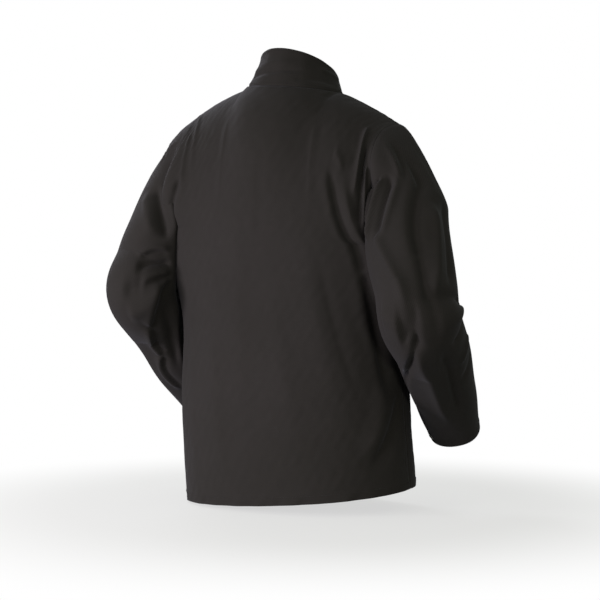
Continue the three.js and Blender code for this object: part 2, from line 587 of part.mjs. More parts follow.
// A closed wall from two layers of points, outer and inner, joined along their open edges.
function wall(outer, inner, facing, ring) {
  const rows = outer.length;
  const columns = outer[0].length;
  const positions = [...outer.flat(), ...inner.flat()].flatMap((point) => [point.x, point.y, point.z]);
  const layer = rows * columns;
  const index = [];
  const quad = (a, b, c, d) => index.push(...(facing > 0 ? [a, b, c, a, c, d] : [a, c, b, a, d, c]));
  const at = (i, j) => i * columns + (j % columns);
  const last = ring ? columns : columns - 1;
  for (let i = 0; i < rows - 1; i += 1) {
    for (let j = 0; j < last; j += 1) {
      quad(at(i, j), at(i, j + 1), at(i + 1, j + 1), at(i + 1, j));
      quad(layer + at(i + 1, j), layer + at(i + 1, j + 1), layer + at(i, j + 1), layer + at(i, j));
    }
  }
  for (let j = 0; j < last; j += 1) {
    quad(layer + at(0, j), layer + at(0, j + 1), at(0, j + 1), at(0, j));
    quad(at(rows - 1, j), at(rows - 1, j + 1), layer + at(rows - 1, j + 1), layer + at(rows - 1, j));
  }
  for (let i = 0; i < rows - 1 && !ring; i += 1) {
    quad(at(i, 0), at(i + 1, 0), layer + at(i + 1, 0), layer + at(i, 0));
    const [low, high] = [at(i, columns - 1), at(i + 1, columns - 1)];
    quad(layer + low, layer + high, high, low);
  }
  const geometry = new THREE.BufferGeometry();
  geometry.setAttribute('position', new THREE.Float32BufferAttribute(positions, 3));
  geometry.setIndex(index);
  geometry.computeVertexNormals();
  return geometry;
}

function clothWall({ grid, facing, ring, edges, places: spots }) {
  const lastRow = grid.length - 1;
  const lastColumn = grid[0].length - 1;
  const columnAt = (j) => (
    ring ? (j + lastColumn + 1) % (lastColumn + 1) : THREE.MathUtils.clamp(j, 0, lastColumn));
  const rowAt = (i) => THREE.MathUtils.clamp(i, 0, lastRow);
  const outer = grid.map((row, i) => row.map((point, j) => {
    const left = point.clone().sub(row[columnAt(j - 1)]);
    const right = row[columnAt(j + 1)].clone().sub(point);
    const below = point.clone().sub(grid[rowAt(i - 1)][j]);
    const above = grid[rowAt(i + 1)][j].clone().sub(point);
    const { outward } = spots[i][j];
    const moved = point.clone();
    if (i === 0) moved.add(drawnBack(outward, left, right, edges.firstRow, -facing));
    if (i === lastRow) moved.add(drawnBack(outward, left, right, edges.lastRow, facing));
    if (j === 0 && !ring) moved.add(drawnBack(outward, below, above, edges.firstColumn, facing));
    if (j === lastColumn && !ring) moved.add(drawnBack(outward, below, above, edges.lastColumn, -facing));
    return moved;
  }));
  const inner = outer.map((row, i) => row.map((point, j) => (
    point.clone().addScaledVector(spots[i][j].outward, -CLOTH))));
  return wall(outer, inner, facing, ring);
}

const jacket = new THREE.Group();
const blackCloth = new THREE.MeshStandardMaterial({ color: 0x2a2827, roughness: 0.9, metalness: 0 });
const snapMetal = new THREE.MeshStandardMaterial({ color: 0x8a8a88, roughness: 0.35, metalness: 1 });

function addPiece(name, geometry, material) {
  const mesh = new THREE.Mesh(geometry, material);
  mesh.name = name;
  jacket.add(mesh);
  return mesh;
}

for (const [name, piece] of Object.entries(pieces)) addPiece(name, clothWall(piece), blackCloth);

// The placket: a flat strip over the meeting edges of the fronts. Its points lie a clearance
// off the cloth of the fronts, at a fixed distance from the centre line.
function frontPointAt(x, up) {
  const width = bodySection(mix(-FRONT_LENGTH, -UNDERARM_DROP, Math.min(up, 1))).halfWidth;
  return stand(bodyPoint(FACES.front, Math.sign(x) * planAngle(x, width) / shoulderAngle, up));
}

function frontNormalAt(up) {
  const step = 0.01;
  const above = frontPointAt(0, Math.min(up + step, 2));
  const below = frontPointAt(0, Math.max(up - step, 0));
  const side = frontPointAt(PLACKET_HALF_WIDTH, up).sub(frontPointAt(-PLACKET_HALF_WIDTH, up));
  return side.cross(above.sub(below)).normalize();
}

const placketRows = rowPlaces.map((up) => up * PLACKET_TOP);
const placketLayer = (distance) => placketRows.map((up) => (
  [-PLACKET_HALF_WIDTH, 0, PLACKET_HALF_WIDTH].map((x) => (
    frontPointAt(x, up).addScaledVector(frontNormalAt(up), distance)))));
addPiece(
  'front_placket',
  wall(placketLayer(PLACKET_CLEARANCE + CLOTH), placketLayer(PLACKET_CLEARANCE), 1, false),
  blackCloth,
);

// A snap's cap: a low turned button with a bevelled rim, in shares of its radius and height.
const SNAP_PROFILE = [[0, 0], [1, 0], [1, 0.5], [0.7, 1], [0, 1]];
function addSnap(name, radius, point, normal) {
  const profile = SNAP_PROFILE.map(([x, y]) => new THREE.Vector2(x * radius, y * SNAP_HEIGHT));
  const geometry = new THREE.LatheGeometry(profile, SNAP_SIDES);
  const snap = addPiece(name, geometry, snapMetal);
  snap.position.copy(point).addScaledVector(normal, SNAP_CLEARANCE);
  snap.quaternion.setFromUnitVectors(vector(0, 1, 0), normal);
}

// Where the centre front lies at a level, found by halving.
function upAtLevel(z) {
  let low = 0;
  let high = 2;
  for (let i = 0; i < 30; i += 1) {
    const middle = (low + high) / 2;
    if (frontPointAt(0, middle).z < z) low = middle;
    else high = middle;
  }
  return low;
}

const topSnapLevel = -NECK_FRONT_DROP - TOP_SNAP_DROP;
const bottomSnapLevel = -FRONT_LENGTH + BOTTOM_SNAP_RISE;
for (let i = 0; i < FRONT_SNAP_COUNT; i += 1) {
  const level = mix(topSnapLevel, bottomSnapLevel, i / (FRONT_SNAP_COUNT - 1));
  const up = upAtLevel(level);
  const normal = frontNormalAt(up);
  const face = frontPointAt(0, up).addScaledVector(normal, PLACKET_CLEARANCE + CLOTH);
  addSnap(`front_snap_${i + 1}`, SNAP_RADIUS, face, normal);
}

for (const [name, side] of [['left', 1], ['right', -1]]) {
  const rows = armRows[name];
  const at = rows[rows.length - 1].at - CUFF_SNAP_INSET;
  const point = sleevePoint(rows, side, at, CUFF_SNAP_TURN);
  const along = sleevePoint(rows, side, at + SLOPE_STEP, CUFF_SNAP_TURN).sub(point);
  const round = sleevePoint(rows, side, at, CUFF_SNAP_TURN + 0.01).sub(point);
  const normal = round.cross(along).multiplyScalar(side).normalize();
  addSnap(`${name}_cuff_snap`, CUFF_SNAP_RADIUS, point, normal);
}

export default jacket;
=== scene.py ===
# Looks of the welding jacket: every cloth piece is worked out again in fine steps on the same
# sizes as the solids, in metres, with its folds, seams, turned hems and stitching.
import math

import bpy
import numpy as np
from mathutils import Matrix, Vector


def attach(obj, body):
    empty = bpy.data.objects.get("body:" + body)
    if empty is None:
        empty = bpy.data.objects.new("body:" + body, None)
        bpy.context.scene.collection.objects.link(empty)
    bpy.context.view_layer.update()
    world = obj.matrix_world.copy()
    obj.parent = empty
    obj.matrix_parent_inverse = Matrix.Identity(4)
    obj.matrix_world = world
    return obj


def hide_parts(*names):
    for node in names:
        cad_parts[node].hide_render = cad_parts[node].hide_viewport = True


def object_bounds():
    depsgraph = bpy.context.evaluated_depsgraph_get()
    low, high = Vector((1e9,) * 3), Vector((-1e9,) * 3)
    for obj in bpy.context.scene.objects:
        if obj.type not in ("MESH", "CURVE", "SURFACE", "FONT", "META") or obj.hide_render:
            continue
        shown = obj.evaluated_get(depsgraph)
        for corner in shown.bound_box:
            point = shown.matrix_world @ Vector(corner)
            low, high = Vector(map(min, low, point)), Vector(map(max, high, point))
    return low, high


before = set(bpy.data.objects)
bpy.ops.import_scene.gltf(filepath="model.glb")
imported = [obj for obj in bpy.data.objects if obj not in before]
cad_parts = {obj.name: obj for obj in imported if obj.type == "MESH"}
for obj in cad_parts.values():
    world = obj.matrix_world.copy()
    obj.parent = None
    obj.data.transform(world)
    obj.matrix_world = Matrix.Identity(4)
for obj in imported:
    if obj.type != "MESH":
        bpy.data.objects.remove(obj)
cad_low, cad_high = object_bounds()

# Camera, light and floor
# The photograph looks level at the jacket's back from the wearer's right, 30 degrees off the
# straight back view, with the eye at mid height of the body. EYE_LEVEL is measured from the
# neck seam, and PHOTO_WIDTH is what the picture's width spans at the jacket's axis.
PHOTO_AZIMUTH = math.radians(210.0)
EYE_DISTANCE = 2.8
EYE_LEVEL = -0.405
PHOTO_WIDTH = 600 * 0.00193
SENSOR_WIDTH = 36.0

camera = bpy.data.objects.new("camera", bpy.data.cameras.new("camera"))
camera.data.sensor_width = SENSOR_WIDTH
camera.data.lens = SENSOR_WIDTH * EYE_DISTANCE / PHOTO_WIDTH
camera.location = (
    EYE_DISTANCE * math.sin(PHOTO_AZIMUTH),
    -EYE_DISTANCE * math.cos(PHOTO_AZIMUTH),
    EYE_LEVEL,
)
camera.rotation_euler = (math.pi / 2, 0, PHOTO_AZIMUTH)
bpy.context.collection.objects.link(camera)
bpy.context.scene.camera = camera


def soft_light(name, place, aim, size, power, colour):
    """A square area light at place that faces aim."""
    light = bpy.data.lights.new(name, "AREA")
    light.shape = "SQUARE"
    light.size = size
    light.energy = power
    light.color = colour
    lamp = bpy.data.objects.new(name, light)
    lamp.location = place
    way = np.array(aim, float) - np.array(place, float)
    flat = math.hypot(way[0], way[1])
    lamp.rotation_euler = (math.atan2(flat, -way[2]), 0, math.atan2(way[1], way[0]) - math.pi / 2)
    bpy.context.collection.objects.link(lamp)


JACKET_MIDDLE = (0.0, 0.0, -0.40)
soft_light("key_light", (0.6, 2.5, -0.25), JACKET_MIDDLE, 1.0, 19.0, (1.0, 0.945, 0.965))
soft_light("side_light", (1.2, 1.4, -0.5), JACKET_MIDDLE, 0.6, 19.0, (1.0, 0.95, 1.0))
soft_light("shoulder_light", (1.9, -1.0, 1.2), JACKET_MIDDLE, 0.8, 16.0, (0.93, 0.93, 1.0))
soft_light("room_fill", (-1.9, 1.7, -0.62), JACKET_MIDDLE, 0.35, 9.0, (0.97, 1.0, 0.84))

FLOOR_SIDE = 14.0
floor_level = cad_low.z - 0.004
floor_mesh = bpy.data.meshes.new("floor")
half_floor = FLOOR_SIDE / 2
floor_mesh.from_pydata(
    [(-half_floor, -half_floor, floor_level), (half_floor, -half_floor, floor_level),
     (half_floor, half_floor, floor_level), (-half_floor, half_floor, floor_level)],
    [], [(0, 1, 2, 3)],
)
floor = bpy.data.objects.new("floor", floor_mesh)
bpy.context.collection.objects.link(floor)
# The floor is matt and pale round the jacket and fades to the white of the room further out.
FLOOR_FADE = (0.42, 0.95)
FLOOR_LEAST = 0.62
floor_paint = bpy.data.materials.new("floor_paint")
floor_paint.use_nodes = True
floor_nodes = floor_paint.node_tree.nodes
floor_links = floor_paint.node_tree.links
floor_shader = floor_nodes["Principled BSDF"]
floor_shader.inputs["Base Color"].default_value = (0.92, 0.92, 0.92, 1)
floor_shader.inputs["Roughness"].default_value = 0.9
floor_shader.inputs["Specular IOR Level"].default_value = 0.1
floor_place = floor_nodes.new("ShaderNodeTexCoord")
floor_reach = floor_nodes.new("ShaderNodeVectorMath")
floor_reach.operation = "LENGTH"
floor_from = floor_nodes.new("ShaderNodeVectorMath")
floor_from.operation = "SUBTRACT"
floor_from.inputs[1].default_value = (0, 0, floor_level)
floor_links.new(floor_place.outputs["Object"], floor_from.inputs[0])
floor_links.new(floor_from.outputs[0], floor_reach.inputs[0])
floor_fade = floor_nodes.new("ShaderNodeMapRange")
floor_fade.interpolation_type = "SMOOTHSTEP"
floor_fade.inputs["From Min"].default_value = FLOOR_FADE[0]
floor_fade.inputs["From Max"].default_value = FLOOR_FADE[1]
floor_fade.inputs["To Min"].default_value = FLOOR_LEAST
floor_links.new(floor_reach.outputs["Value"], floor_fade.inputs["Value"])
floor_glow = floor_nodes.new("ShaderNodeEmission")
floor_mix = floor_nodes.new("ShaderNodeMixShader")
floor_links.new(floor_fade.outputs[0], floor_mix.inputs[0])
floor_links.new(floor_shader.outputs[0], floor_mix.inputs[1])
floor_links.new(floor_glow.outputs[0], floor_mix.inputs[2])
floor_path = floor_nodes.new("ShaderNodeLightPath")
floor_links.new(floor_path.outputs["Is Camera Ray"], floor_glow.inputs["Strength"])
floor_links.new(floor_mix.outputs[0], floor_nodes["Material Output"].inputs["Surface"])
floor_mesh.materials.append(floor_paint)

# The room is plain white to the camera and a dimmer white as a light.
ROOM_LIGHT = 0.30
room = bpy.data.worlds.new("room")
room.use_nodes = True
room_nodes = room.node_tree.nodes
room_links = room.node_tree.links
room_nodes.clear()
room_out = room_nodes.new("ShaderNodeOutputWorld")
seen = room_nodes.new("ShaderNodeBackground")
seen.inputs["Color"].default_value = (1, 1, 1, 1)
lit = room_nodes.new("ShaderNodeBackground")
lit.inputs["Color"].default_value = (0.96, 1.0, 0.86, 1)
lit.inputs["Strength"].default_value = ROOM_LIGHT
room_mix = room_nodes.new("ShaderNodeMixShader")
path = room_nodes.new("ShaderNodeLightPath")
room_links.new(path.outputs["Is Camera Ray"], room_mix.inputs[0])
room_links.new(lit.outputs[0], room_mix.inputs[1])
room_links.new(seen.outputs[0], room_mix.inputs[2])
room_links.new(room_mix.outputs[0], room_out.inputs["Surface"])
bpy.context.scene.world = room
bpy.context.scene.view_settings.view_transform = "Standard"

# The back
# One panel of black cotton from the neck to the hem, cut out at the armholes. It hangs almost
# straight from the shoulder blades, gathers under the right arm and ends in a turned hem.
BACK_LENGTH = 0.784
SIDE_LENGTH = 0.772
FRONT_LENGTH = 0.764
CHEST_HALF_WIDTH = 0.240
BACK_DEPTH = 0.150
FRONT_DEPTH = 0.140
BODY_SQUARENESS = 2.2
UNDERARM_DROP = 0.285
SHOULDER_HALF_WIDTH = 0.226
SHOULDER_FALL = 0.058
ARMHOLE_INSET = 0.030
SHOULDER_TILT = 0.105
HEM_TILT = -0.075
NECK_HALF_WIDTH = 0.096
NECK_BACK = 0.086
NECK_FRONT = 0.094
NECK_FRONT_DROP = 0.066
CLOTH = 0.0018
SEAM_GAP = 0.0006

# Body sections: how far down as a share of SIDE_LENGTH, then shares of the chest's sizes, and
# the shift to the wearer's left as a share of CHEST_HALF_WIDTH.
BODY_SECTIONS = {
    "down": (0.00, 0.37, 0.50, 0.62, 0.80, 1.00),
    "wide": (1.00, 1.00, 0.97, 0.96, 0.98, 0.98),
    "back": (1.00, 1.00, 0.97, 0.96, 1.00, 1.03),
    "front": (0.98, 0.98, 0.98, 1.00, 1.00, 1.00),
    "shift": (0.03, 0.00, 0.04, 0.06, 0.05, 0.00),
}


def smooth_track(places, values, at):
    """A smooth curve through table rows: between two rows a cubic whose end slopes are those of
    the chords between each row's neighbours. Beyond the table it keeps the end value."""
    places = np.asarray(places, float)
    values = np.asarray(values, float)
    at = np.clip(np.asarray(at, float), places[0], places[-1])
    rows = np.arange(len(places))
    before = np.maximum(rows - 1, 0)
    after = np.minimum(rows + 1, len(places) - 1)
    chord = (places[after] - places[before]).reshape((-1,) + (1,) * (values.ndim - 1))
    slopes = (values[after] - values[before]) / chord
    i = np.clip(np.searchsorted(places, at) - 1, 0, len(places) - 2)
    span = places[i + 1] - places[i]
    t = (at - places[i]) / span
    if values.ndim == 2:
        t = t[..., None]
        span = span[..., None]
    t2 = t * t
    t3 = t2 * t
    return (
        (2 * t3 - 3 * t2 + 1) * values[i] + (t3 - 2 * t2 + t) * span * slopes[i]
        + (3 * t2 - 2 * t3) * values[i + 1] + (t3 - t2) * span * slopes[i + 1]
    )


def ease(low, high, x):
    """0 below low, 1 above high, and the cubic 3t^2 - 2t^3 between."""
    t = np.clip((np.asarray(x, float) - low) / (high - low), 0, 1)
    return t * t * (3 - 2 * t)


def blend(a, b, t):
    """a at t = 0 and b at t = 1, straight between."""
    return a * (1 - t) + b * t


def section_size(name, z):
    """A column of the body table at height z."""
    return smooth_track(BODY_SECTIONS["down"], BODY_SECTIONS[name], -z / SIDE_LENGTH)


def stance(z):
    """Tilt and sideways shift at height z: one shoulder is raised, the hem hangs lower on that
    side, and the tilt changes evenly from the hem to the underarm."""
    from_hem = np.clip((z + SIDE_LENGTH) / (SIDE_LENGTH - UNDERARM_DROP), 0, 1)
    return blend(HEM_TILT, SHOULDER_TILT, from_hem), section_size("shift", z) * CHEST_HALF_WIDTH


def stand(point):
    """Moves a point of the upright body to the stance: x gains the shift, z gains x times tilt."""
    tilt, shift = stance(point[..., 2])
    moved = point.copy()
    moved[..., 0] += shift
    moved[..., 2] += point[..., 0] * tilt
    return moved


FACES = {
    "back": {"sign": 1, "length": BACK_LENGTH, "chest": BACK_DEPTH * 1.00,
             "neck_depth": NECK_BACK, "neck_drop": 0.0, "neck_lean": 0.9, "depth": BACK_DEPTH},
    "front": {"sign": -1, "length": FRONT_LENGTH, "chest": FRONT_DEPTH * 0.98,
              "neck_depth": NECK_FRONT, "neck_drop": NECK_FRONT_DROP, "neck_lean": 1.2,
              "depth": FRONT_DEPTH},
}


def plan_angle(x, half_width):
    """The squared ellipse's angle at x: the arc sine of (x / half width) to half the squareness."""
    share = np.clip(np.abs(x) / half_width, 0, 1)
    return np.arcsin(share ** (BODY_SQUARENESS / 2))


def plan_wide(angle):
    """Half width share at an angle: sine to the power 2 / squareness, with the angle's sign."""
    return np.sign(angle) * np.abs(np.sin(angle)) ** (2 / BODY_SQUARENESS)


def plan_deep(angle):
    """Depth share at an angle: cosine to the power 2 / squareness."""
    return np.clip(np.cos(angle), 0, 1) ** (2 / BODY_SQUARENESS)


def armhole_half_width(t):
    """Half width of the cloth beside the armhole: straight from chest to shoulder, less a
    parabola that is ARMHOLE_INSET deep at the middle."""
    return blend(CHEST_HALF_WIDTH, SHOULDER_HALF_WIDTH, t) - 4 * ARMHOLE_INSET * t * (1 - t)


ARMPIT_ROOM = 0.042
BLADE_ROOM = 0.026
SHOULDER_ANGLE = float(plan_angle(SHOULDER_HALF_WIDTH, CHEST_HALF_WIDTH))


def column_angle(across, edge_angle):
    """Plan angle of a column: inner columns run straight up, and the cube of across makes only
    the outer ones follow the side edge."""
    return across * SHOULDER_ANGLE + (edge_angle - SHOULDER_ANGLE) * across ** 3


def armpit_room(z):
    """How much wider the cloth hangs under the raised arm: ARMPIT_ROOM at the armpit, nothing by
    the elbow's level or at the shoulder."""
    return ARMPIT_ROOM * ease(-0.48, -0.31, z) * (1 - ease(-0.25, -0.06, z))


def body_point(face, across, up):
    """A point of the body cloth. across runs from -1 to 1, up from 0 at the hem by 1 at the
    underarm to 2 at the shoulder. Below the underarm it is a squared half ellipse in plan. Above,
    each column is a cubic that leaves upright and leans over to its place on the seam. The wider
    hang under the left arm and the blades' bulge of BLADE_ROOM are added."""
    side = FACES[face]
    across, up = np.broadcast_arrays(np.asarray(across, float), np.asarray(up, float))
    low_angle = column_angle(across, np.sign(across) * 0 + math.pi / 2)
    length = blend(SIDE_LENGTH, side["length"], np.cos(low_angle))
    low_z = blend(-length, -UNDERARM_DROP, np.minimum(up, 1))
    low = np.stack([
        CHEST_HALF_WIDTH * section_size("wide", low_z) * plan_wide(low_angle),
        side["sign"] * side["depth"] * section_size(face, low_z) * plan_deep(low_angle),
        low_z,
    ], axis=-1)
    t = np.clip(up - 1, 0, 1) ** 1.4
    angle = column_angle(across, plan_angle(armhole_half_width(t), CHEST_HALF_WIDTH))
    top_x = CHEST_HALF_WIDTH * plan_wide(across * SHOULDER_ANGLE)
    neck = np.sqrt(np.clip(1 - (top_x / NECK_HALF_WIDTH) ** 2, 0, 1))
    along = np.clip((np.abs(top_x) - NECK_HALF_WIDTH) / (SHOULDER_HALF_WIDTH - NECK_HALF_WIDTH), 0, 1)
    top_y = side["neck_depth"] * neck
    top_z = -side["neck_drop"] * neck ** 1.5 - SHOULDER_FALL * (0.75 * along + 0.25 * along ** 2)
    soft_neck = np.clip(1 - (top_x / (1.15 * NECK_HALF_WIDTH)) ** 2, 0, 1) ** 1.2
    lean = side["neck_lean"] * soft_neck
    base = side["chest"] * plan_deep(angle)
    rise = top_z + UNDERARM_DROP
    reach = blend(0.62 * np.maximum(base - top_y, 0), 0.32 * rise, soft_neck)
    soft_y = side["neck_depth"] * soft_neck
    s = 1 - t
    y = (s ** 3 + 3 * s * s * t) * base + 3 * s * t * t * (soft_y + reach * np.cos(lean)) + t ** 3 * top_y
    z = (-UNDERARM_DROP * s ** 3 + 3 * s * s * t * (-UNDERARM_DROP + 0.6 * rise)
         + 3 * s * t * t * (top_z - reach * np.sin(lean)) + t ** 3 * top_z)
    high = np.stack([CHEST_HALF_WIDTH * plan_wide(angle), side["sign"] * y, z], axis=-1)
    point = np.where((up <= 1)[..., None], low, high)
    room = armpit_room(point[..., 2]) * np.clip(across, 0, 1) ** 4
    point[..., 0] += room
    if face == "back":
        point[..., 1] += 1.5 * room * (1 - np.clip(across, 0, 1) ** 12)
        point[..., 1] += BLADE_ROOM * np.sin(np.clip(up - 1, 0, 1) * math.pi) * np.abs(across) ** 5
    return stand(point)


def fold_height(a, b, folds):
    """Height of the folds at places a, b. Each fold runs on a quadratic curve from start by bend
    to end. With d the distance across it in widths, the height is (ridge + lean * d) times
    exp(-|d|^crisp): crisp is 2 for a soft fold and towards 1 for a crease, and lean raises one
    flank and sinks the other. It swells and fades along its run by the shares fade_in and
    fade_out."""
    total = np.zeros_like(a)
    for a0, b0, a1, b1, a2, b2, width, ridge, lean, crisp, fade_in, fade_out in folds:
        best = np.full(a.shape, 1e9)
        signed = np.zeros_like(a)
        along = np.zeros_like(a)
        for s in np.linspace(0, 1, 25):
            line_a = (1 - s) ** 2 * a0 + 2 * s * (1 - s) * a1 + s * s * a2
            line_b = (1 - s) ** 2 * b0 + 2 * s * (1 - s) * b1 + s * s * b2
            way_a = 2 * (1 - s) * (a1 - a0) + 2 * s * (a2 - a1)
            way_b = 2 * (1 - s) * (b1 - b0) + 2 * s * (b2 - b1)
            pace = math.hypot(way_a, way_b) + 1e-9
            off = (a - line_a) ** 2 + (b - line_b) ** 2
            nearer = off < best
            side = (way_a * (b - line_b) - way_b * (a - line_a)) / pace
            ahead = (way_a * (a - line_a) + way_b * (b - line_b)) / pace
            best = np.where(nearer, off, best)
            signed = np.where(nearer, side, signed)
            along = np.where(nearer, s + ahead / pace, along)
        d = signed / width
        beyond = np.clip(np.maximum(-along, along - 1), 0, None) / 0.04
        fade = ease(0, max(fade_in, 1e-3), along) * ease(0, max(fade_out, 1e-3), 1 - along)
        bell = np.exp(-np.abs(d) ** crisp - beyond ** 2)
        total += (ridge + 1.65 * lean * d) * bell * fade
    return total


def surface_normals(grid, facing, ring):
    """Unit normals of a grid of points: the cross product of its central differences along the
    columns and along the rows, turned by facing to the outside."""
    if ring:
        wide = np.concatenate([grid[:, -1:], grid, grid[:, :1]], axis=1)
        across = wide[:, 2:] - wide[:, :-2]
    else:
        across = np.gradient(grid, axis=1)
    normal = facing * np.cross(across, np.gradient(grid, axis=0))
    return normal / (np.linalg.norm(normal, axis=-1, keepdims=True) + 1e-12)


def cloth_mesh(name, grid, thickness, facing, ring):
    """A closed wall: the grid as its outer face, the same grid moved in along the normals by
    thickness as its inner face, and strips of faces round the open edges. It gets a UV map of
    metres along columns and rows, for the weave."""
    rows, columns = grid.shape[:2]
    normals = surface_normals(grid, facing, ring)
    thickness = np.broadcast_to(thickness, (rows, columns))[..., None]
    points = np.concatenate([grid.reshape(-1, 3), (grid - normals * thickness).reshape(-1, 3)])
    layer = rows * columns
    last = columns if ring else columns - 1
    i, j = np.meshgrid(np.arange(rows - 1), np.arange(last), indexing="ij")
    k = (j + 1) % columns
    cells = np.stack([i * columns + j, i * columns + k, (i + 1) * columns + k, (i + 1) * columns + j], -1)
    cells = cells.reshape(-1, 4)
    jj = np.arange(last)
    kk = (jj + 1) % columns
    top = (rows - 1) * columns
    faces = [
        cells, layer + cells[:, ::-1],
        np.stack([layer + jj, layer + kk, kk, jj], -1),
        np.stack([top + jj, top + kk, layer + top + kk, layer + top + jj], -1),
    ]
    if not ring:
        ii = np.arange(rows - 1) * columns
        end = ii + columns - 1
        faces.append(np.stack([ii, ii + columns, layer + ii + columns, layer + ii], -1))
        faces.append(np.stack([layer + end, layer + end + columns, end + columns, end], -1))
    faces = np.concatenate(faces)
    if facing < 0:
        faces = faces[:, ::-1]
    mesh = bpy.data.meshes.new(name)
    mesh.vertices.add(len(points))
    mesh.vertices.foreach_set("co", points.ravel())
    mesh.loops.add(faces.size)
    mesh.loops.foreach_set("vertex_index", faces.ravel())
    mesh.polygons.add(len(faces))
    mesh.polygons.foreach_set("loop_start", np.arange(len(faces)) * 4)
    mesh.polygons.foreach_set("loop_total", np.full(len(faces), 4))
    mesh.update(calc_edges=True)
    across = np.linalg.norm(np.diff(grid, axis=1), axis=-1).mean(axis=0)
    upward = np.linalg.norm(np.diff(grid, axis=0), axis=-1).mean(axis=1)
    u = np.concatenate([[0], np.cumsum(across)])
    v = np.concatenate([[0], np.cumsum(upward)])
    place = np.stack(np.broadcast_arrays(u[None, :], v[:, None]), -1).reshape(-1, 2)
    place = np.concatenate([place, place])[faces.ravel()]
    mesh.uv_layers.new(name="weave").data.foreach_set("uv", place.ravel())
    mesh.polygons.foreach_set("use_smooth", np.ones(len(faces), bool))
    mesh.validate()
    piece = bpy.data.objects.new(name, mesh)
    bpy.context.collection.objects.link(piece)
    return piece


def ripple(a, b, size, seed):
    """Soft unevenness between about -1 and 1: a sum of seven sine waves whose directions and
    phases come from a seeded generator and whose lengths are near size."""
    chance = np.random.default_rng(seed)
    total = np.zeros(np.broadcast(a, b).shape)
    for way, phase, stretch in chance.random((7, 3)):
        angle = way * math.pi
        length = size * (0.6 + 1.1 * stretch)
        total += np.sin((a * math.cos(angle) + b * math.sin(angle)) * 2 * math.pi / length + phase * 6.28)
    return total / 3.2


def near_edge(distance, width):
    """1 on an edge and 0 from width away, by the ease curve."""
    return 1 - ease(0, width, np.abs(distance))


def edge_places(low, high, count, edge):
    """count even places from low to high, with extra ones in shares of edge beside both ends,
    so that rolled seams and hems have lines to bend on."""
    extra = np.array([0.12, 0.25, 0.45, 0.7, 1.0]) * edge
    even = np.linspace(low + 1.5 * edge, high - 1.5 * edge, count)
    return np.concatenate([[low], low + extra, even, high - extra[::-1], [high]])


# Places on the body cloth in metres: across from the centre line, and level below the neck.
BODY_ARC = 0.31
HEM_DEPTH = 0.017
SEAM_ROLL = 0.004
STITCH_INSET = 0.006


def body_flat(across, up):
    """Flat places of the body cloth: BODY_ARC times across, and a level that runs straight from
    the hem to the underarm and on to the top seams."""
    level = np.where(up < 1, blend(-SIDE_LENGTH, -UNDERARM_DROP, up), -UNDERARM_DROP + 0.27 * (up - 1))
    return BODY_ARC * across, level


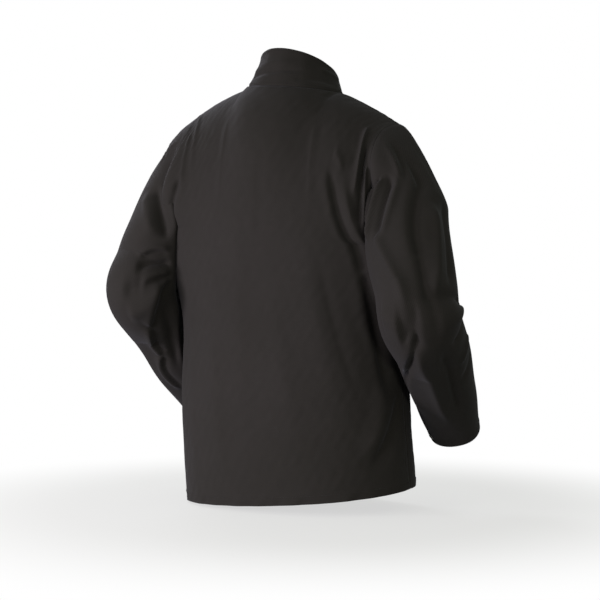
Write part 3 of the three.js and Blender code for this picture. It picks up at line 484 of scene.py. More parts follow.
# Folds of the back in body_flat metres: start, bend, end, width, ridge, lean, crisp, fades.
# Running downwards, a positive lean raises the side towards the wearer's left.
BACK_FOLDS = (
    (-0.138, -0.160, -0.160, -0.250, -0.206, -0.350, 0.011, -0.0050, 0.0056, 1.5, 0.20, 0.12),
    (-0.198, -0.335, -0.246, -0.430, -0.268, -0.600, 0.012, -0.0050, 0.0060, 1.5, 0.12, 0.25),
    (-0.180, -0.180, -0.206, -0.300, -0.262, -0.430, 0.015, 0.0075, 0.0000, 1.7, 0.15, 0.30),
    (-0.150, -0.145, -0.165, -0.148, -0.182, -0.170, 0.0100, 0.0035, 0.0000, 1.5, 0.30, 0.30),
    (-0.236, -0.070, -0.252, -0.138, -0.200, -0.205, 0.008, 0.0078, 0.0016, 1.5, 0.20, 0.25),
    (-0.262, -0.100, -0.238, -0.180, -0.205, -0.250, 0.0060, -0.0070, 0.0000, 1.4, 0.20, 0.25),
    (-0.280, -0.145, -0.246, -0.185, -0.210, -0.265, 0.0055, 0.0090, 0.0016, 1.3, 0.15, 0.25),
    (-0.298, -0.160, -0.262, -0.205, -0.216, -0.275, 0.0050, -0.0083, 0.0000, 1.3, 0.10, 0.25),
    (-0.225, -0.280, -0.262, -0.380, -0.300, -0.540, 0.0200, 0.0064, 0.0026, 1.8, 0.25, 0.30),
    (-0.302, -0.560, -0.285, -0.640, -0.215, -0.725, 0.0140, -0.0074, 0.0054, 1.5, 0.25, 0.30),
    (-0.250, -0.540, -0.268, -0.640, -0.203, -0.700, 0.0180, 0.0064, 0.0000, 1.8, 0.25, 0.30),
    (0.000, -0.120, 0.004, -0.200, 0.006, -0.330, 0.009, -0.0008, 0.0007, 1.7, 0.30, 0.40),
    (-0.085, -0.260, -0.130, -0.430, -0.182, -0.630, 0.022, 0.0022, 0.0006, 1.7, 0.35, 0.35),
    (-0.110, -0.300, -0.160, -0.450, -0.215, -0.600, 0.010, -0.0012, 0.0008, 1.6, 0.35, 0.35),
    (-0.020, -0.330, -0.060, -0.500, -0.095, -0.700, 0.024, 0.0020, 0.0006, 1.8, 0.35, 0.30),
    (0.050, -0.200, 0.030, -0.420, 0.010, -0.700, 0.020, 0.0013, 0.0005, 1.8, 0.35, 0.30),
    (0.110, -0.420, 0.085, -0.560, 0.070, -0.740, 0.022, 0.0020, 0.0005, 1.8, 0.35, 0.20),
    (0.190, -0.330, 0.165, -0.520, 0.160, -0.745, 0.020, 0.0018, 0.0006, 1.8, 0.35, 0.15),
    (0.240, -0.300, 0.220, -0.450, 0.225, -0.620, 0.022, 0.0024, -0.0008, 1.8, 0.30, 0.35),
    (0.262, -0.060, 0.225, -0.110, 0.190, -0.200, 0.012, 0.0026, 0.0010, 1.6, 0.10, 0.45),
    (0.240, -0.185, 0.250, -0.230, 0.262, -0.285, 0.008, -0.0070, 0.0012, 1.5, 0.20, 0.30),
    (0.275, -0.100, 0.240, -0.160, 0.215, -0.230, 0.009, 0.0030, 0.0000, 1.5, 0.15, 0.40),
    (0.060, -0.012, 0.090, -0.040, 0.130, -0.045, 0.006, -0.0014, 0.0000, 1.5, 0.20, 0.40),
    (-0.060, -0.012, -0.080, -0.045, -0.120, -0.060, 0.007, -0.0012, 0.0000, 1.5, 0.20, 0.40),
)
FRONT_FOLDS = (
    (0.250, -0.090, 0.215, -0.200, 0.215, -0.330, 0.016, 0.0040, 0.0010, 1.7, 0.15, 0.40),
    (0.275, -0.120, 0.240, -0.200, 0.228, -0.280, 0.008, -0.0036, 0.0000, 1.4, 0.15, 0.35),
    (0.200, -0.120, 0.150, -0.300, 0.120, -0.480, 0.022, 0.0035, 0.0006, 1.8, 0.30, 0.40),
    (0.100, -0.420, 0.120, -0.580, 0.110, -0.730, 0.026, 0.0035, 0.0000, 1.8, 0.30, 0.30),
    (0.170, -0.300, 0.185, -0.480, 0.170, -0.700, 0.012, -0.0018, 0.0008, 1.6, 0.30, 0.30),
    (0.220, -0.400, 0.235, -0.560, 0.215, -0.720, 0.024, -0.0040, 0.0010, 1.8, 0.30, 0.30),
)


def body_cloth(face, across, up, folds, seed):
    """The body cloth with its folds: the plain surface moved out along its normals by the folds,
    a soft unevenness, and less at the rolled seams and more at the turned hem."""
    across, up = np.meshgrid(across, up)
    plain = body_point(face, across, up)
    outward = surface_normals(plain, -1 if face == "back" else 1, False)
    a, b = body_flat(across, up)
    free = ease(0, 0.03, BODY_ARC * (1 - np.abs(across))) * ease(0, 0.05, (2 - up) * 0.27)
    height = (fold_height(a, b, folds) + 0.0011 * ripple(a, b * 0.6, 0.11, seed)) * free
    height += 0.00025 * ripple(a, b, 0.022, seed + 1)
    from_hem = up * (SIDE_LENGTH - UNDERARM_DROP)
    height += 0.0007 * (1 - ease(HEM_DEPTH - 0.0015, HEM_DEPTH + 0.0015, from_hem))
    height += 0.0012 * near_edge(from_hem, HEM_DEPTH) * ripple(a, b * 0.3, 0.035, seed + 2)
    height -= 0.0006 * near_edge(from_hem - HEM_DEPTH, 0.003)
    side = BODY_ARC * (1 - np.abs(across))
    height -= 0.0006 * near_edge(side, SEAM_ROLL) + 0.0003 * near_edge(side - STITCH_INSET, 0.0025)
    top = (2 - up) * 0.19
    height -= 0.0016 * near_edge(top, SEAM_ROLL)
    return plain + outward * height[..., None]


def seam_allowance(cloth, facing):
    """The cloth with its seam allowances: two columns past each side and two rows past the top,
    which go on in the cloth's direction and dip under the piece it is sewn to."""
    for turned in (False, True):
        grid = cloth.transpose(1, 0, 2) if turned else cloth
        outward = surface_normals(grid, -facing if turned else facing, False)
        strips = []
        for edge, inner in ((-1, -5),) if not turned else ((0, 4), (-1, -5)):
            way = grid[edge] - grid[inner]
            way /= np.linalg.norm(way, axis=-1, keepdims=True)
            near = grid[edge] + way * 0.0010 - outward[edge] * 0.0026
            far = grid[edge] + way * 0.0080 - outward[edge] * 0.0034
            strips.append((edge, near[None], far[None]))
        for edge, near, far in strips:
            grid = np.concatenate([far, near, grid] if edge == 0 else [grid, near, far])
        cloth = grid.transpose(1, 0, 2) if turned else grid
    return cloth


across_back = edge_places(-0.9985, 0.9985, 168, 0.014)
up_body = edge_places(0.0, 1.9985, 200, 0.02)
back_grid = body_cloth("back", across_back, up_body, BACK_FOLDS, 11)
back = cloth_mesh("back_cloth", seam_allowance(back_grid, -1), CLOTH, -1, False)

# The cotton
# Heavy black twill, worn soft: a warm near-black with a bluish bloom of sheen, faded a little
# in soft patches, with a diagonal weave and short slubs.
cotton = bpy.data.materials.new("black_cotton")
cotton.use_nodes = True
cotton_nodes = cotton.node_tree.nodes
cotton_links = cotton.node_tree.links
cotton_shader = cotton_nodes["Principled BSDF"]


def add_node(nodes, kind, **values):
    """A shader node with its settings and input values, given by name."""
    node = nodes.new(kind)
    for name, value in values.items():
        if name in node.inputs:
            node.inputs[name].default_value = value
        else:
            setattr(node, name, value)
    return node


place_node = add_node(cotton_nodes, "ShaderNodeTexCoord")
patches = add_node(cotton_nodes, "ShaderNodeTexNoise", Scale=4.0, Detail=3.0, Roughness=0.5)
dust = add_node(cotton_nodes, "ShaderNodeTexNoise", Scale=55.0, Detail=4.0, Roughness=0.7)
cotton_links.new(place_node.outputs["Object"], patches.inputs["Vector"])
cotton_links.new(place_node.outputs["Object"], dust.inputs["Vector"])
tone = add_node(cotton_nodes, "ShaderNodeValToRGB")
tone.color_ramp.elements[0].position = 0.36
tone.color_ramp.elements[0].color = (0.0210, 0.0184, 0.0170, 1)
tone.color_ramp.elements[1].position = 0.66
tone.color_ramp.elements[1].color = (0.0245, 0.0212, 0.0205, 1)
cotton_links.new(patches.outputs["Fac"], tone.inputs["Fac"])
speckle = add_node(cotton_nodes, "ShaderNodeMapRange")
speckle.inputs["From Min"].default_value = 0.3
speckle.inputs["From Max"].default_value = 0.75
speckle.inputs["To Min"].default_value = 0.95
speckle.inputs["To Max"].default_value = 1.06
cotton_links.new(dust.outputs["Fac"], speckle.inputs["Value"])
thread_place = add_node(cotton_nodes, "ShaderNodeUVMap", uv_map="weave")
twill = add_node(cotton_nodes, "ShaderNodeTexWave", wave_type="BANDS", bands_direction="DIAGONAL",
                 Scale=160.0, Distortion=0.4, Detail=1.0)
cotton_links.new(thread_place.outputs["UV"], twill.inputs["Vector"])
slubs = add_node(cotton_nodes, "ShaderNodeTexNoise", Scale=900.0, Detail=2.0)
cotton_links.new(thread_place.outputs["UV"], slubs.inputs["Vector"])
weave = add_node(cotton_nodes, "ShaderNodeMath", operation="MULTIPLY_ADD")
weave.inputs[1].default_value = 0.6
cotton_links.new(twill.outputs["Fac"], weave.inputs[0])
cotton_links.new(slubs.outputs["Fac"], weave.inputs[2])
shade = add_node(cotton_nodes, "ShaderNodeMapRange")
shade.inputs["To Min"].default_value = 0.80
shade.inputs["To Max"].default_value = 1.12
cotton_links.new(weave.outputs[0], shade.inputs["Value"])
both = add_node(cotton_nodes, "ShaderNodeMath", operation="MULTIPLY")
cotton_links.new(speckle.outputs[0], both.inputs[0])
cotton_links.new(shade.outputs[0], both.inputs[1])
dyed = add_node(cotton_nodes, "ShaderNodeVectorMath", operation="SCALE")
cotton_links.new(tone.outputs["Color"], dyed.inputs[0])
cotton_links.new(both.outputs[0], dyed.inputs["Scale"])
cotton_links.new(dyed.outputs[0], cotton_shader.inputs["Base Color"])
weave_bump = add_node(cotton_nodes, "ShaderNodeBump", Strength=0.35, Distance=0.0004)
cotton_links.new(weave.outputs[0], weave_bump.inputs["Height"])
crush_bump = add_node(cotton_nodes, "ShaderNodeBump", Strength=0.04, Distance=0.003)
cotton_links.new(dust.outputs["Fac"], crush_bump.inputs["Height"])
cotton_links.new(weave_bump.outputs[0], crush_bump.inputs["Normal"])
cotton_links.new(crush_bump.outputs[0], cotton_shader.inputs["Normal"])
cotton_shader.inputs["Roughness"].default_value = 0.88
cotton_shader.inputs["Specular IOR Level"].default_value = 0.25
cotton_shader.inputs["Sheen Weight"].default_value = 0.09
cotton_shader.inputs["Sheen Roughness"].default_value = 0.45
cotton_shader.inputs["Sheen Tint"].default_value = (0.80, 0.80, 1.0, 1)


def finish_cloth(piece, node):
    piece.data.materials.append(cotton)
    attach(piece, "root")
    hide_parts(node)


finish_cloth(back, "back_panel")

# The fronts
# Two panels that meet under the placket at the centre. They hang like the back, with the neck
# cut lower, and softer folds from the shoulders.
across_front = edge_places(0.0012, 0.9985, 84, 0.014)
left_front_grid = body_cloth("front", across_front, up_body, FRONT_FOLDS, 21)
left_front = cloth_mesh("left_front_cloth", left_front_grid, CLOTH, 1, False)
finish_cloth(left_front, "left_front")
MIRRORED_FOLDS = tuple((-r[0], r[1], -r[2], r[3], -r[4], r[5], r[6], r[7], -r[8]) + r[9:]
                       for r in FRONT_FOLDS)
right_front_grid = body_cloth("front", -across_front[::-1], up_body, MIRRORED_FOLDS, 31)
right_front = cloth_mesh("right_front_cloth", right_front_grid, CLOTH, 1, False)
finish_cloth(right_front, "right_front")


# The sleeves
# Two tubes of the same cotton, set into the armholes and bent at the elbow. The cloth gathers
# under the arm, creases inside the elbow and hangs in long soft ridges on the forearm.
SLEEVE_HALF_WIDTH = 0.076
CUFF_HALF_WIDTH = 0.046
UPPER_ARM = 0.240
FOREARM = 0.300
BODY_TO_SLEEVE = 0.007
BODY_TO_SLEEVE_START = 0.045

# Rows from the armhole's centre on the upper arm in shares of UPPER_ARM, then from the elbow in
# shares of FOREARM: out, back and down, taper towards the cuff, and stretch across and deep.
SLEEVE_SECTIONS = {
    "left": {
        "upper": ((0.07, 0.11, 0.20, 0.00, 1.00, 1.01), (0.13, 0.21, 0.45, 0.00, 0.99, 1.00),
                  (0.23, 0.32, 0.78, 0.05, 0.98, 1.00), (0.27, 0.38, 1.00, 0.10, 0.98, 1.12)),
        "fore": ((-0.01, -0.20, 0.20, 0.25, 1.03, 1.05), (-0.04, -0.42, 0.50, 0.55, 1.04, 1.02),
                 (-0.07, -0.65, 0.80, 1.00, 1.00, 1.00)),
    },
    "right": {
        "upper": ((0.06, 0.16, 0.20, 0.00, 1.00, 1.02), (0.13, 0.27, 0.45, 0.00, 1.03, 1.00),
                  (0.23, 0.35, 0.78, 0.05, 1.00, 1.00), (0.28, 0.38, 1.00, 0.10, 1.00, 1.05)),
        "fore": ((-0.02, -0.22, 0.20, 0.25, 1.00, 1.02), (-0.07, -0.48, 0.45, 0.50, 1.02, 1.00),
                 (-0.10, -0.73, 0.72, 1.00, 1.08, 1.00)),
    },
}


def armhole_point(side, turn):
    """The armhole's edge: from the underarm up the back's side edge to the shoulder tip at half
    a turn, and down the front's side edge."""
    turn = np.asarray(turn, float)
    back = body_point("back", np.full(turn.shape, float(side)), 1 + 2 * np.minimum(turn, 0.5))
    front = body_point("front", np.full(turn.shape, float(side)), 3 - 2 * np.maximum(turn, 0.5))
    return np.where((turn <= 0.5)[..., None], back, front)


def body_edge_way(side, turn):
    """The direction in which the body's cloth arrives at the armhole, from the back for the
    first half turn and from the front for the second, of length 1."""
    inside = float(side) * 0.97
    back = body_point("back", np.full(turn.shape, inside), 1 + 2 * np.minimum(turn, 0.5))
    front = body_point("front", np.full(turn.shape, inside), 3 - 2 * np.maximum(turn, 0.5))
    from_back = ease(0.46, 0.54, turn)[..., None]
    way = armhole_point(side, turn) - blend(back, front, from_back)
    return way / np.linalg.norm(way, axis=-1, keepdims=True)


def sleeve_rows(side, sections):
    """Distance along the sleeve, centre, half width across and half depth of each section."""
    ends = armhole_point(side, np.array([0.0, 0.5]))
    ends[:, 0] -= armpit_room(ends[:, 2] - ends[:, 0] * SHOULDER_TILT) * (side > 0)
    start = ends.mean(axis=0)
    centres = [start]
    halves = [(SLEEVE_HALF_WIDTH, SLEEVE_HALF_WIDTH)]
    base = start
    for bone, unit in (("upper", UPPER_ARM), ("fore", FOREARM)):
        for out, behind, down, taper, across, deep in sections[bone]:
            half = blend(SLEEVE_HALF_WIDTH, CUFF_HALF_WIDTH, taper)
            centres.append(base + unit * np.array([side * out, behind, -down]))
            halves.append((half * across, half * deep))
        base = centres[-1]
    centres = np.array(centres)
    steps = np.linalg.norm(np.diff(centres, axis=0), axis=1)
    return np.concatenate([[0], np.cumsum(steps)]), centres, np.array(halves)


def section_point(rows, side, at, turn):
    """A point of the round section at a distance along the arm's line: centre plus half width
    times cosine along the inner direction plus half depth times sine along the back direction,
    both square to the line."""
    places, centres, halves = rows
    centre = smooth_track(places, centres, at)
    line = smooth_track(places, centres, at + 0.004) - smooth_track(places, centres, at - 0.004)
    line /= np.linalg.norm(line, axis=-1, keepdims=True)
    behind = np.array([0.0, 1.0, 0.0]) - line * line[..., 1:2]
    behind /= np.linalg.norm(behind, axis=-1, keepdims=True)
    inner = np.cross(behind, line) * side
    half = smooth_track(places, halves, at)
    angle = turn[..., None] * 2 * math.pi
    return centre + inner * np.cos(angle) * half[..., :1] + behind * np.sin(angle) * half[..., 1:]


def clear_of_body(point, near):
    """Holds the sleeve clear of the body: in plan a point is moved straight out from the body's
    middle until its squared-ellipse reach is a little over 1, with a soft corner."""
    tilt, shift = stance(point[..., 2] - point[..., 0] * SHOULDER_TILT)
    x = point[..., 0] - shift
    z = np.minimum(point[..., 2] - x * tilt, -UNDERARM_DROP)
    half_width = CHEST_HALF_WIDTH * section_size("wide", z) + 0.7 * armpit_room(z) * (x > 0)
    depth = np.where(
        point[..., 1] > 0,
        BACK_DEPTH * section_size("back", z),
        FRONT_DEPTH * section_size("front", z),
    )
    reach = (np.abs(x / half_width) ** BODY_SQUARENESS
             + np.abs(point[..., 1] / depth) ** BODY_SQUARENESS) ** (1 / BODY_SQUARENESS)
    least = 1 + BODY_TO_SLEEVE / half_width
    wanted = (reach + least + np.sqrt((reach - least) ** 2 + 0.03 ** 2)) / 2
    scale = blend(1, wanted / reach, near)
    return np.stack([shift + x * scale, point[..., 1] * scale, point[..., 2]], axis=-1)


def sleeve_point(rows, side, at, turn):
    """A point of the sleeve: a cubic blend from the armhole to the first section, which leaves
    the seam partly sideways, and beyond it the sections, all held clear of the body."""
    at, turn = np.broadcast_arrays(np.asarray(at, float), np.asarray(turn, float))
    first = rows[0][1]
    flat = np.full(at.shape, first)
    start = armhole_point(side, turn)
    end = section_point(rows, side, flat, turn)
    end_slope = (section_point(rows, side, flat + 0.004, turn) - end) * first / 0.004
    start_slope = (end - start) * 0.6 + np.array([side * 0.5 * first, 0.0, 0.0])
    onward = body_edge_way(side, turn) * first * 1.1 + (end - start) * 0.2
    above_underarm = ease(0.04, 0.30, np.minimum(turn, 1 - turn))[..., None]
    start_slope = blend(start_slope, onward, above_underarm)
    t = np.clip(at / first, 0, 1)[..., None]
    cap = (start * (2 * t ** 3 - 3 * t ** 2 + 1) + start_slope * (t ** 3 - 2 * t ** 2 + t)
           + end * (3 * t ** 2 - 2 * t ** 3) + end_slope * (t ** 3 - t ** 2))
    tube = section_point(rows, side, np.maximum(at, first), turn)
    point = np.where((at < first)[..., None], cap, tube)
    return clear_of_body(point, ease(0, BODY_TO_SLEEVE_START, at))


# Folds of the sleeves: round the sleeve in metres from its inner side towards the back, and
# along it. Running down the sleeve, a positive lean raises the side towards the body.
SLEEVE_ROUND = 0.45
SLEEVE_FOLDS = {
    "left": (
        (0.126, 0.078, 0.098, 0.124, 0.060, 0.166, 0.009, -0.0110, 0.0020, 1.4, 0.15, 0.20),
        (0.148, 0.088, 0.122, 0.136, 0.088, 0.172, 0.012, 0.0060, 0.0000, 1.7, 0.25, 0.30),
        (0.100, 0.068, 0.078, 0.110, 0.048, 0.148, 0.008, 0.0060, 0.0000, 1.4, 0.20, 0.25),
        (0.096, 0.228, 0.090, 0.186, 0.046, 0.184, 0.006, 0.0030, 0.0060, 1.3, 0.15, 0.20),
        (0.092, 0.244, 0.064, 0.222, 0.034, 0.204, 0.008, -0.0100, 0.0000, 1.5, 0.20, 0.20),
        (0.075, 0.256, 0.052, 0.246, 0.028, 0.226, 0.005, 0.0060, 0.0000, 1.4, 0.20, 0.20),
        (0.110, 0.258, 0.059, 0.262, 0.018, 0.232, 0.005, -0.0090, 0.0000, 1.3, 0.20, 0.15),
        (0.108, 0.274, 0.062, 0.276, 0.032, 0.252, 0.008, 0.0070, 0.0000, 1.5, 0.20, 0.20),
        (0.018, 0.236, 0.040, 0.272, 0.082, 0.298, 0.006, 0.0030, -0.0075, 1.3, 0.15, 0.12),
        (0.080, 0.296, 0.116, 0.345, 0.100, 0.392, 0.006, 0.0040, -0.0080, 1.3, 0.12, 0.12),
        (0.100, 0.390, 0.142, 0.438, 0.098, 0.484, 0.006, 0.0040, -0.0070, 1.3, 0.12, 0.20),
        (0.020, 0.265, 0.062, 0.317, 0.088, 0.450, 0.012, -0.0100, 0.0000, 1.7, 0.20, 0.25),
        (0.150, 0.290, 0.160, 0.400, 0.150, 0.540, 0.018, 0.0040, 0.0000, 1.8, 0.25, 0.30),
        (0.200, 0.050, 0.205, 0.140, 0.180, 0.240, 0.020, 0.0030, 0.0000, 1.8, 0.25, 0.35),
        (0.204, 0.002, 0.152, 0.004, 0.132, 0.028, 0.003, 0.0042, 0.0000, 1.3, 0.10, 0.30),
        (0.196, 0.009, 0.154, 0.013, 0.142, 0.036, 0.003, 0.0042, 0.0000, 1.3, 0.10, 0.30),
        (0.186, 0.022, 0.160, 0.026, 0.152, 0.048, 0.003, 0.0030, 0.0000, 1.3, 0.15, 0.40),
        (0.260, 0.200, 0.270, 0.300, 0.250, 0.450, 0.018, 0.0040, 0.0000, 1.8, 0.25, 0.35),
        (0.330, 0.120, 0.330, 0.220, 0.300, 0.330, 0.018, -0.0040, 0.0000, 1.8, 0.25, 0.35),
        (-0.060, 0.160, -0.090, 0.200, -0.100, 0.260, 0.010, -0.0050, 0.0000, 1.5, 0.20, 0.30),
    ),
    "right": (
        (0.116, 0.030, 0.092, 0.084, 0.064, 0.138, 0.0058, 0.0115, 0.0030, 1.3, 0.20, 0.20),
        (0.104, 0.032, 0.080, 0.078, 0.056, 0.120, 0.0050, -0.0090, 0.0000, 1.4, 0.30, 0.20),
        (0.096, 0.028, 0.072, 0.066, 0.050, 0.100, 0.0050, 0.0080, 0.0000, 1.3, 0.25, 0.20),
        (0.130, 0.036, 0.108, 0.092, 0.080, 0.144, 0.0065, -0.0090, 0.0030, 1.4, 0.20, 0.25),
        (0.142, 0.040, 0.126, 0.096, 0.098, 0.150, 0.0065, 0.0060, 0.0010, 1.4, 0.20, 0.30),
        (0.177, 0.010, 0.162, 0.028, 0.138, 0.056, 0.0040, 0.0060, 0.0010, 1.25, 0.15, 0.30),
        (0.186, 0.014, 0.172, 0.030, 0.150, 0.058, 0.0040, -0.0050, 0.0000, 1.3, 0.15, 0.30),
        (0.084, 0.110, 0.112, 0.189, 0.128, 0.262, 0.010, 0.0085, 0.0014, 1.5, 0.20, 0.12),
        (0.192, 0.020, 0.142, 0.110, 0.162, 0.200, 0.011, -0.0095, 0.0050, 1.5, 0.15, 0.15),
        (0.158, 0.185, 0.160, 0.220, 0.161, 0.258, 0.009, -0.0070, 0.0030, 1.5, 0.15, 0.12),
        (0.196, 0.080, 0.206, 0.160, 0.176, 0.258, 0.011, 0.0080, 0.0000, 1.6, 0.20, 0.12),
        (0.226, 0.060, 0.236, 0.150, 0.212, 0.245, 0.010, -0.0060, 0.0000, 1.6, 0.20, 0.20),
        (0.105, 0.272, 0.128, 0.266, 0.148, 0.260, 0.005, -0.0075, 0.0000, 1.3, 0.20, 0.20),
        (0.140, 0.266, 0.110, 0.296, 0.062, 0.410, 0.007, -0.0110, 0.0050, 1.3, 0.12, 0.20),
        (0.126, 0.276, 0.146, 0.334, 0.147, 0.520, 0.012, 0.0085, 0.0010, 1.5, 0.10, 0.20),
        (0.100, 0.310, 0.092, 0.380, 0.088, 0.500, 0.010, 0.0050, 0.0000, 1.6, 0.20, 0.25),
        (0.172, 0.290, 0.180, 0.370, 0.176, 0.500, 0.010, -0.0075, 0.0030, 1.5, 0.20, 0.25),
        (0.268, 0.246, 0.200, 0.249, 0.156, 0.256, 0.008, -0.0070, 0.0000, 1.6, 0.10, 0.20),
        (0.272, 0.280, 0.210, 0.271, 0.170, 0.265, 0.011, 0.0065, 0.0000, 1.8, 0.10, 0.20),
        (0.264, 0.300, 0.230, 0.300, 0.190, 0.302, 0.006, -0.0050, 0.0000, 1.3, 0.10, 0.30),
        (0.258, 0.330, 0.230, 0.342, 0.195, 0.360, 0.008, 0.0040, 0.0000, 1.4, 0.15, 0.30),
        (0.255, 0.372, 0.230, 0.384, 0.195, 0.400, 0.008, -0.0034, 0.0000, 1.4, 0.15, 0.30),
        (0.070, 0.256, 0.094, 0.262, 0.112, 0.266, 0.008, 0.0085, 0.0000, 1.5, 0.20, 0.20),
        (0.300, 0.150, 0.310, 0.260, 0.290, 0.360, 0.020, -0.0040, 0.0000, 1.8, 0.25, 0.35),
        (-0.050, 0.170, -0.080, 0.210, -0.100, 0.270, 0.010, -0.0050, 0.0000, 1.5, 0.20, 0.30),
    ),
}


def sleeve_cloth(name, side, seed):
    """The sleeve's cloth: its plain tube moved out along the normals by the folds and a soft
    unevenness, rolled in at the armhole seam and thickened at the turned cuff hem."""
    rows = sleeve_rows(side, SLEEVE_SECTIONS[name])
    total = rows[0][-1]
    at = edge_places(0.0006, total, 170, 0.014)
    turn = np.arange(132) / 132
    along, round_ = np.meshgrid(at, turn, indexing="ij")
    plain = sleeve_point(rows, side, along, round_)
    outward = surface_normals(plain, side, True)
    a = SLEEVE_ROUND * (((round_ + 0.25) % 1) - 0.25)
    free = ease(0.004, 0.03, along) * ease(0, 0.05, a + 0.25 * SLEEVE_ROUND) * ease(
        0, 0.05, 0.75 * SLEEVE_ROUND - a)
    height = fold_height(a, along, SLEEVE_FOLDS[name]) * free
    height += 0.0011 * ripple(np.cos(round_ * 6.283) * 0.07, along + np.sin(round_ * 6.283) * 0.07, 0.09, seed)
    from_cuff = total - along
    height += 0.0007 * (1 - ease(HEM_DEPTH - 0.0015, HEM_DEPTH + 0.0015, from_cuff))
    height -= 0.0006 * near_edge(from_cuff - HEM_DEPTH, 0.003)
    height -= 0.0005 * near_edge(along, SEAM_ROLL) + 0.0003 * near_edge(along - STITCH_INSET, 0.0025)
    cloth = plain + outward * height[..., None]
    inward = cloth[:1] - cloth[6:7]
    inward /= np.linalg.norm(inward, axis=-1, keepdims=True)
    tuck = np.array([0.008, 0.004])[:, None, None]
    return np.concatenate([cloth[:1] + inward * tuck - outward[:1] * tuck * 0.4, cloth])


left_sleeve_grid = sleeve_cloth("left", 1, 41)
left_sleeve = cloth_mesh("left_sleeve_cloth", left_sleeve_grid, CLOTH, 1, True)
finish_cloth(left_sleeve, "left_sleeve")
right_sleeve_grid = sleeve_cloth("right", -1, 51)
right_sleeve = cloth_mesh("right_sleeve_cloth", right_sleeve_grid, CLOTH, -1, True)
finish_cloth(right_sleeve, "right_sleeve")

# The collar
# A stand-up band of doubled cotton round the neck, higher at the back than in front, with its
# ends meeting at the centre front.
COLLAR_TOP_HALF_WIDTH = 0.075
COLLAR_TOP_HALF_DEPTH = 0.076
COLLAR_TOP_FORWARD = 0.012
COLLAR_HEIGHT = 0.045
COLLAR_SLOPE = 0.028


def collar_point(turn, rise):
    """A point of the collar. turn is the angle round the neck, 0 at the back and positive to the
    wearer's left; rise runs from 0 at the neckline to 1 at the top ring. The plan moves from
    the neckline to the ring by 1 - (1 - rise)^1.5, the height evenly."""
    turn, rise = np.broadcast_arrays(np.asarray(turn, float), np.asarray(rise, float))
    sine = np.sin(turn)
    cosine = np.cos(turn)
    depth = np.where(cosine > 0, NECK_BACK, NECK_FRONT)
    drop = np.where(cosine > 0, 0.0, NECK_FRONT_DROP * np.abs(cosine) ** 1.5)
    bow = 1 - (1 - rise) ** 1.5
    return stand(np.stack([
        blend(NECK_HALF_WIDTH * sine, COLLAR_TOP_HALF_WIDTH * sine, bow),
        blend(depth * cosine, COLLAR_TOP_HALF_DEPTH * cosine - COLLAR_TOP_FORWARD, bow),
        blend(-drop, COLLAR_HEIGHT + COLLAR_SLOPE * cosine, rise),
    ], axis=-1))


# Creases of the collar: across from the centre back towards the wearer's left, and up.
COLLAR_FOLDS = (
    (0.085, 0.010, 0.030, 0.024, -0.075, 0.030, 0.0050, -0.0030, 0.0016, 1.4, 0.20, 0.25),
    (0.088, 0.024, 0.030, 0.040, -0.045, 0.042, 0.0080, 0.0024, 0.0000, 1.6, 0.20, 0.30),
    (-0.030, 0.010, -0.075, 0.020, -0.125, 0.014, 0.0055, -0.0026, 0.0010, 1.4, 0.20, 0.30),
    (-0.080, 0.040, -0.120, 0.046, -0.160, 0.034, 0.0060, 0.0022, 0.0000, 1.5, 0.20, 0.30),
)
COLLAR_TURN = edge_places(-math.pi + 0.018, math.pi - 0.018, 150, 0.05)
COLLAR_RISE = edge_places(0.008, 1.0, 24, 0.05)
collar_turns, collar_rises = np.meshgrid(COLLAR_TURN, COLLAR_RISE)
collar_plain = collar_point(collar_turns, collar_rises)
collar_out = surface_normals(collar_plain, -1, False)
collar_height = fold_height(collar_turns * 0.085, collar_rises * 0.065, COLLAR_FOLDS)
collar_height *= ease(0, 0.2, collar_rises)
collar_height += 0.0009 * ripple(collar_turns * 0.085, collar_rises * 0.05, 0.05, 61)
collar_height -= 0.0012 * near_edge(1 - collar_rises, 0.05) + 0.0008 * near_edge(collar_rises, 0.06)
collar_grid = collar_plain + collar_out * collar_height[..., None]
collar_grid[0, :, 2] -= 0.004
collar_grid[0] -= collar_out[0] * 0.002
collar = cloth_mesh("collar_cloth", collar_grid, CLOTH, -1, False)
finish_cloth(collar, "collar")

# The placket and the snaps
# A flat strip over the meeting fronts with five metal snaps down it, and one snap at each cuff.
PLACKET_HALF_WIDTH = 0.025
PLACKET_CLEARANCE = 0.0007
PLACKET_TOP = 1.96
SNAP_CLEARANCE = 0.0004
FRONT_SNAP_COUNT = 5
TOP_SNAP_DROP = 0.026
BOTTOM_SNAP_RISE = 0.090
CUFF_SNAP_TURN = 0.16
CUFF_SNAP_INSET = 0.016


def front_place(x, up):
    """A point of the front at distance x from the centre line."""
    width = np.where(
        up <= 1,
        CHEST_HALF_WIDTH * section_size("wide", blend(-FRONT_LENGTH, -UNDERARM_DROP, np.minimum(up, 1))),
        CHEST_HALF_WIDTH,
    )
    return body_point("front", np.sign(x) * plan_angle(x, width) / SHOULDER_ANGLE, up)


def front_normal(up):
    """The direction out of the centre front: across the placket crossed with up along it."""
    up = np.asarray(up, float)
    rising = front_place(0 * up, np.minimum(up + 0.01, 2)) - front_place(0 * up, np.maximum(up - 0.01, 0))
    wide = front_place(0 * up + PLACKET_HALF_WIDTH, up) - front_place(0 * up - PLACKET_HALF_WIDTH, up)
    normal = np.cross(wide, rising)
    return normal / np.linalg.norm(normal, axis=-1, keepdims=True)


